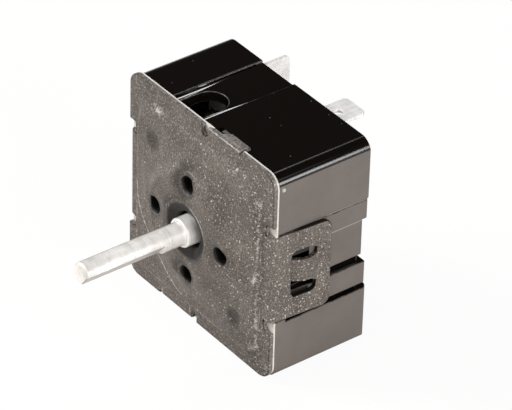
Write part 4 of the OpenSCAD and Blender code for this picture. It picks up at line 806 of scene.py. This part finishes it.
lean = radians(sheet["lean"])
tongueLine = [(sheet["windowBack"], 0.0, 0.0)]      # along the tab, inwards, angle: stepped towards the tip
while tongueLine[-1][0] > sheet["windowFront"] - sheet["tongueSpare"]:
    s, depth, angle = tongueLine[-1]
    gone = sheet["windowBack"] - sheet["tongueStride"] * len(tongueLine)
    angle = lean * fade(gone, sheet["crease"] - sheet["creaseWide"] / 2, sheet["creaseWide"])
    stride = sheet["tongueStride"] * (sheet["tongueStretch"] if gone < sheet["crease"] else 1)
    tongueLine.append((s - stride * cos(angle), depth + stride * sin(angle), angle))


def foldedPoint(u, w, depth):
    # on a side tab, past its bend; the latch tongue leans inwards from its root
    run = abs(u) - foldU
    turn = min(run, bendLength) / sheet["bendR"]
    straight = max(0.0, run - bendLength)
    alongX, alongY = cos(turn), sin(turn)
    outX, outY = alongY, -alongX
    x = foldU + sheet["bendR"] * outX + straight * alongX
    y = rimY + sheet["bendR"] + sheet["bendR"] * outY + straight * alongY
    if abs(w) <= sheet["tongueHalfH"] + 0.001 and sheet["tongueTip"] - 0.01 <= straight < sheet["windowBack"]:
        at = (sheet["windowBack"] - straight) / sheet["tongueStride"]
        low = min(int(at), len(tongueLine) - 2)
        s, deep, angle = (p + (q - p) * (at - low) for p, q in zip(tongueLine[low], tongueLine[low + 1]))
        x += (s - straight) * alongX - deep * outX
        y += (s - straight) * alongY - deep * outY
        outX = outX * cos(angle) - alongX * sin(angle)
        outY = outY * cos(angle) - alongY * sin(angle)
    side = 1 if u > 0 else -1
    return Vector((side * (x - depth * outX), y - depth * outY, w))


def sheetPoint(u, w, depth):
    # a point of the flat pattern, pressed and folded; depth runs into the sheet from its front
    if abs(u) > foldU and tabBottom - 0.001 <= w <= tabTop + 0.001:
        return foldedPoint(u, w, depth)
    half = 1 if w > 0 else -1
    if abs(w) > foldW and sheet["edgeTabStart"] - 0.001 <= u * half <= sheet["edgeTabEnd"] + 0.001:
        run = abs(w) - foldW
        turn = min(run, edgeBendLength) / sheet["edgeBendR"]
        straight = max(0.0, run - edgeBendLength)
        r = sheet["edgeBendR"] - depth
        y = rimY + sheet["edgeBendR"] - r * cos(turn) + straight
        return Vector((u, y, half * (foldW + r * sin(turn))))
    d = 0.02
    slopeU = (pressedY(u + d, w) - pressedY(u - d, w)) / (2 * d)
    slopeW = (pressedY(u, w + d) - pressedY(u, w - d)) / (2 * d)
    return Vector((u, pressedY(u, w), w)) + Vector((-slopeU, 1, -slopeW)).normalized() * depth


marks = {       # mm, and shares of cut metal, painted shade, and wear with painted highlight; a pair is a fade's start and width
    "edgeTab": (        # run over the top tab's bend: cut-metal tone, painted shade and painted highlight, to look like the sheared edge beside it
        (0.0, 0, 0, 0), (0.28, 0, 0.45, 0), (0.56, 1, 0, 0), (1.12, 1, 0, 0), (1.4, 0.6, 0, 3),
        (1.68, 0.75, 0, 0.3), (4.0, 0.75, 0, 0.3)),
    "wellShade": (0.6, (-0.3, 2.4), (-1.5, 3.5)),
    "dimpleShade": (0.5, 0.3, (1.4, 1.3)),
    "holeShade": (0.62, 0.3, (-1.0, 2.5), (0, 3.0)),
    "ridge": (2.6, 0.35, 0.28), "ridgeFade": (0.5, (3, 4)),
    "leftRidge": (-17, 15), "lowRidge": (-17, 8), "rightRidge": (15, 17, 0.35), "faintRidge": 0.12,
    "spots": ((-13.0, 20.2, 2.2), (11.4, 20.6, 2.0), (19.4, 16.3, 1.6), (19.0, -1.4, 1.8),
              (18.9, -17.6, 2.6), (2.0, -19.8, 1.8)), "spot": (1.2, 0.6, 1.1),
    "footR": (18.7, 1.3), "foot": (1.6, 0.2, (-0.5, 2), (-4.5, 2)),
    "wellDark": (-0.06, 0.3), "wellLip": (1.7, 48, 60, 0.1), "holeDark": (0.4, 4, 0.03),
    "boreRim": (0.8, 0.5), "tongueTop": (1.8, 3.1, 0.15), "tabTop": (1.5, 4), "tabFrom": 0.6,
    "atSide": (0.4, 0.3),
}


def footR(u, w):
    # the lower left foot of the boss is nearly a circle, flatter on its diagonal
    r, flatter = marks["footR"]
    return r - flatter * sin(2 * atan2(-w, -u)) ** 4


def ridgeShare(u, w):
    # worn light and painted highlight, strongest at the left and the lower left, fading upwards, and a little
    # at the right
    (left, leftTop), (low, lowEnd), (right, rightTop, share) = (
        marks[name] for name in ("leftRidge", "lowRidge", "rightRidge"))
    if (u < left and w < leftTop) or (w < low and u < lowEnd):
        least, upwards = marks["ridgeFade"]
        return least + (1 - least) * fade(w, *upwards)
    return share if u > right and w < rightTop else marks["faintRidge"]


def frontLook(u, w):
    # shares of cut metal, painted shade, and wear with painted highlight at a point of the sheet's front
    if abs(w) > foldW and u * w > 0 and sheet["edgeTabStart"] <= abs(u) <= sheet["edgeTabEnd"]:
        runs, *shares = zip(*marks["edgeTab"])
        return tuple(float(np.interp(abs(w) - foldW, runs, share)) for share in shares)
    share, outwards, rightwards = marks["wellShade"]
    shadeShare = share * fade(hypot(u, w) - wellR, *outwards) * fade(u, *rightwards)
    share, left, outwards = marks["dimpleShade"]
    for cu, cw in sheet["dimples"]:
        shadeShare = max(shadeShare, share * fade(hypot(u - cu + left, w - cw), *outwards))
    upright, level, rightwards, outwards = marks["holeShade"]
    for cu, cw in screwHoles:       # painted shade lies left of each hole, its right side is left unshaded
        share = (level if cu else upright) * fade(u - cu, *rightwards)
        shadeShare = max(shadeShare, share * fade(hypot(u - cu, w - cw) - lipR, *outwards))
    if abs(u) > halfW or abs(w) > halfH:
        return 0, shadeShare, 0
    # ridge lines, spots and the boss's foot arc: light wear that is also painted highlight
    edge = panelDistance(u, w)
    share, inside, wide = marks["ridge"]
    ridge = share * ridgeShare(u, w) * bell(edge + inside, wide)
    share, inside, wide = marks["spot"]
    spot = share * max(bell(hypot(u - cu, w - cw), r) for cu, cw, r in marks["spots"])
    spot *= bell(edge + inside, wide)
    share, wide, upwards, rightwards = marks["foot"]
    foot = share * bell(hypot(u, w) - footR(u, w), wide) * fade(w, *upwards) * fade(u, *rightwards)
    return 0, shadeShare, max(ridge, spot, foot)


def cutLook(u, w, inWindow, cut, shadeShare):
    # shares of cut metal and painted shade on a sheared edge, fully painted shade in a window and on a side
    # tab
    if inWindow:
        low, high, least = marks["tongueTop"]
        return 0, least if low < w < high else 1
    onTab = tabBottom - 0.01 < w < tabTop + 0.01
    if onTab and abs(u) > foldU + marks["tabFrom"] * bendLength:
        towardsRear = 1 - fade(abs(u) - tabStartU, *marks["tabTop"])
        return 0, towardsRear if w > tabTop - 0.01 else 1
    if abs(u) > halfW - 0.05:      # less cut-metal tone and less painted shade at the sides
        cutShare, sideShadeShare = marks["atSide"]
        return cut * cutShare, shadeShare * sideShadeShare
    return cut, shadeShare


def wallLook(radius, y, angle, isWell):
    # painted shade inside; the well has a painted highlight line round its upper right lip, a hole one round
    # its bore
    if isWell:
        share, at, reach, depth = marks["wellLip"]
        rubbed = share * fade(abs(degrees(angle) - at), 0, reach) if y < depth else 0
        return 0, 1 - fade(y, *marks["wellDark"]), rubbed
    dark, deeper, above = marks["holeDark"]
    share, depth = marks["boreRim"]
    rubbed = share if abs(radius - boreR) < 0.1 and y < depth else 0
    return 0, min(1, dark + max(0, y - sheet["dishDepth"] - above) * deeper), rubbed


def holeProfile():
    # radius and depth: over the lip, down the bore and its thread, and up the collar's outside
    thread, (back, shallow, deep) = sheet["threadR"], sheet["boreRound"]
    path = [(r, dish(r)) for r in sheet["lipRadii"]]
    path += [(boreR + back, dish(boreR) + shallow), (boreR, dish(boreR) + deep), (boreR, sheet["boreEnd"])]
    for k in range(2 * sheet["threadTurns"] + 1):
        cut = sheet["threadRoot"] if k % 2 else sheet["threadCrest"]
        path.append((thread + cut, sheet["threadFront"] + sheet["threadPitch"] * k / 2))
    collarR, depth = sheet["collarR"], sheet["collarDepth"]
    return path + [
        (thread + sheet["threadEnd"], depth), (collarR, depth), (collarR, thick + sheet["collarFoot"])]


def pressedRings():
    # points beside whatever is cut, pressed or folded
    made = []
    for cu, cw in sheet["dimples"]:
        for k in range(net["dimpleRings"]):
            r = net["dimpleStep"] * k
            made += circlePoints(cu, cw, r, max(1, round(2 * pi * r / net["outline"])))
    for out in net["footRings"]:
        for i in range(net["footPoints"]):
            a = pi + pi / 2 * i / (net["footPoints"] - 1)
            r = footR(cos(a), sin(a)) + out
            made.append((r * cos(a), r * sin(a)))
    cu, cw = sheet["panelHalfW"] - sheet["panelR"], sheet["panelHalfH"] - sheet["panelR"]
    for out in net["ridgeRings"]:
        ring = []
        for sideU, sideW, start in ((1, 1, 90), (1, -1, 0), (-1, -1, -90), (-1, 1, 180)):
            ring += arcPoints(sideU * cu, sideW * cw, sheet["panelR"] + out, start, start - 90)
        made += resample(ring, net["ridgeStep"])
    lowest, leftmost = (start + net["firstStep"] for start in (tabBottom, sheet["edgeTabStart"]))
    for sign in (1, -1):
        rows, count, step = net["bendRows"]
        for k in range(1, rows + 1):
            made += [(sign * (foldU + bendLength * k / rows), lowest + step * i) for i in range(count)]
        rows, apart, count, step = net["edgeRows"]
        for k in range(rows):
            made += [(sign * (leftmost + step * i), sign * (foldW + apart * k)) for i in range(count)]
    return made


def evenNet():
    # rows of triangles over the whole flat pattern
    step, share = net["step"], net["rowShare"]
    reachU, reachW = tabStartU + sheet["tabStraight"], halfH + net["past"]
    rows, columns = int(2 * reachW / (step * share)) + 1, int(2 * reachU / step) + 1
    return [(-reachU + (col + 0.5 * (row % 2)) * step, -reachW + row * step * share)
            for row in range(rows) for col in range(columns)]


def insideSheet(points, loops, holes):
    points = np.array(points)
    hit = np.zeros(len(points), bool)
    for loop in loops:
        for (au, aw), (bu, bw) in zip(loop, loop[1:] + loop[:1]):
            if aw != bw:
                cross = (aw > points[:, 1]) != (bw > points[:, 1])
                hit ^= cross & (points[:, 0] < (bu - au) * (points[:, 1] - aw) / (bw - aw) + au)
    for cu, cw, r, count in holes:
        hit &= np.hypot(points[:, 0] - cu, points[:, 1] - cw) > r
    return hit


def thinned(fixed, extra):
    # the extra points, without those too close to a fixed one or to one before them
    tree = KDTree(len(fixed) + len(extra))
    for i, p in enumerate(fixed + extra):
        tree.insert((p[0], p[1], 0), i)
    tree.balance()
    dropped = set()
    for i, p in enumerate(extra, len(fixed)):
        for _, j, gap in tree.find_range((p[0], p[1], 0), net["nearest"]):
            limit = net["nearestToEdge"] if j < len(fixed) else net["nearest"]
            if j < i and j not in dropped and gap < limit:
                dropped.add(i)
                break
    return [p for i, p in enumerate(extra, len(fixed)) if i not in dropped]


def addPoint(made, point, cutEdge=0.0, dent=0.0, rubbed=0.0):
    made["points"].append(point)
    for name, share in (("cutEdge", cutEdge), ("dent", dent), ("rubbed", rubbed)):
        made[name].append(share)
    return len(made["points"]) - 1


def shearedRings(made, outline, inWindow):
    # a sheared edge from front to back: drawn over by the die, then torn, then a small burr
    edge = sheet["rolledEdge"]
    profile = (     # set back, depth, shares of cut metal and painted shade
        (edge * 0.5, edge * 0.13, 0, 0.5), (edge * 0.13, edge * 0.5, 0, 0.6), (0, edge, 0.5, 0.2),
        (0, edge + 0.1, 1, 0), (0, thick - 0.1, 1, 0), (0.03, thick - 0.03, 0.5, 0))
    return [[addPoint(made, sheetPoint(*q, depth), *cutLook(*p, inWindow, cut, shadeShare))
             for p, q in zip(outline, inset(outline, back))] for back, depth, cut, shadeShare in profile]


def sunkRings(made, cu, cw, r, count):
    # the wall of the well or of a drawn hole; its lip follows the sheet round it
    isWell = r == wellR
    ground = 0 if isWell else dish(r)
    rings = []
    for radius, y in sheet["wellProfile"] if isWell else holeProfile():
        ring = []
        for k in range(count):
            a = 2 * pi * k / count
            edgeY = pressedY(cu + r * cos(a), cw + r * sin(a)) - ground
            point = Vector((cu + radius * cos(a), y + edgeY * max(0, 1 - y / sheet["lipDepth"]),
                            cw + radius * sin(a)))
            ring.append(addPoint(made, point, *wallLook(radius, y, a, isWell)))
        rings.append(ring)
    return rings


def buildPlate():
    outer = topEdge() + sideEdge() + [(-u, -w) for u, w in topEdge()]
    outer += [(-u, w) for u, w in reversed(sideEdge())]
    window = windowEdge()
    loops = [resample(outer, net["outline"]), resample(window, net["window"]),
             resample([(-u, w) for u, w in reversed(window)], net["window"])]
    holes = [(0, 0, wellR, net["wellPoints"])]
    holes += [(u, w, lipR, net["holePoints"]) for u, w in screwHoles]
    flat, fences, starts = [], [], []
    rings = [inset(loop, sheet["rolledEdge"]) for loop in loops] + [circlePoints(*hole) for hole in holes]
    for ring in rings:
        starts.append(len(flat))
        fences += [(len(flat) + k, len(flat) + (k + 1) % len(ring)) for k in range(len(ring))]
        flat += ring
    extra = []
    for loop in loops:
        extra += inset(loop, sheet["rolledEdge"] + net["insideEdge"])
    for cu, cw, r, count in holes:
        for out in net["holeRings"]:
            extra += circlePoints(cu, cw, r + out, round(count * (1 + out / r * net["growth"])), out)
    extra += pressedRings() + evenNet()
    extra = [p for p, inside in zip(extra, insideSheet(extra, loops, holes)) if inside]
    flat += thinned(flat, extra)

    points, _, faces, origin, _, _ = delaunay_2d_cdt([Vector(p) for p in flat], fences, [], 0, 1e-6, True)
    centres = [(sum(points[i].x for i in face) / 3, sum(points[i].y for i in face) / 3) for face in faces]
    faces = [face for face, inside in zip(faces, insideSheet(centres, loops, holes)) if inside]
    place = {old: new for new, olds in enumerate(origin) for old in olds}

    made = {"points": [], "cutEdge": [], "dent": [], "rubbed": []}
    front = [addPoint(made, sheetPoint(p.x, p.y, 0), *frontLook(p.x, p.y)) for p in points]
    rear = [addPoint(made, sheetPoint(p.x, p.y, thick)) for p in points]
    polygons = [[front[i] for i in face] for face in faces]
    polygons += [[rear[i] for i in reversed(face)] for face in faces]
    walls = [shearedRings(made, loop, k > 0) for k, loop in enumerate(loops)]
    walls += [sunkRings(made, *hole) for hole in holes]
    for start, rings in zip(starts, walls):
        ends = [[side[place[start + k]] for k in range(len(rings[0]))] for side in (front, rear)]
        polygons += wallFaces([ends[0]] + rings + [ends[1]])

    mesh = solidMesh("mountingPlate", made["points"], polygons)
    for name in ("cutEdge", "dent", "rubbed"):
        mesh.attributes.new(name, "FLOAT", "POINT").data.foreach_set("value", made[name])
    piece = addObject("mountingPlate", mesh)
    smoothFaces(piece)
    return piece


mountingPlate = buildPlate()
mountingPlate.data.materials.append(finishes["zinc_steel"])
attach(mountingPlate, "housing")
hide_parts("mounting_plate")
print("mounting plate folded:", len(mountingPlate.data.vertices), "vertices,",
      len(mountingPlate.data.polygons), "faces")
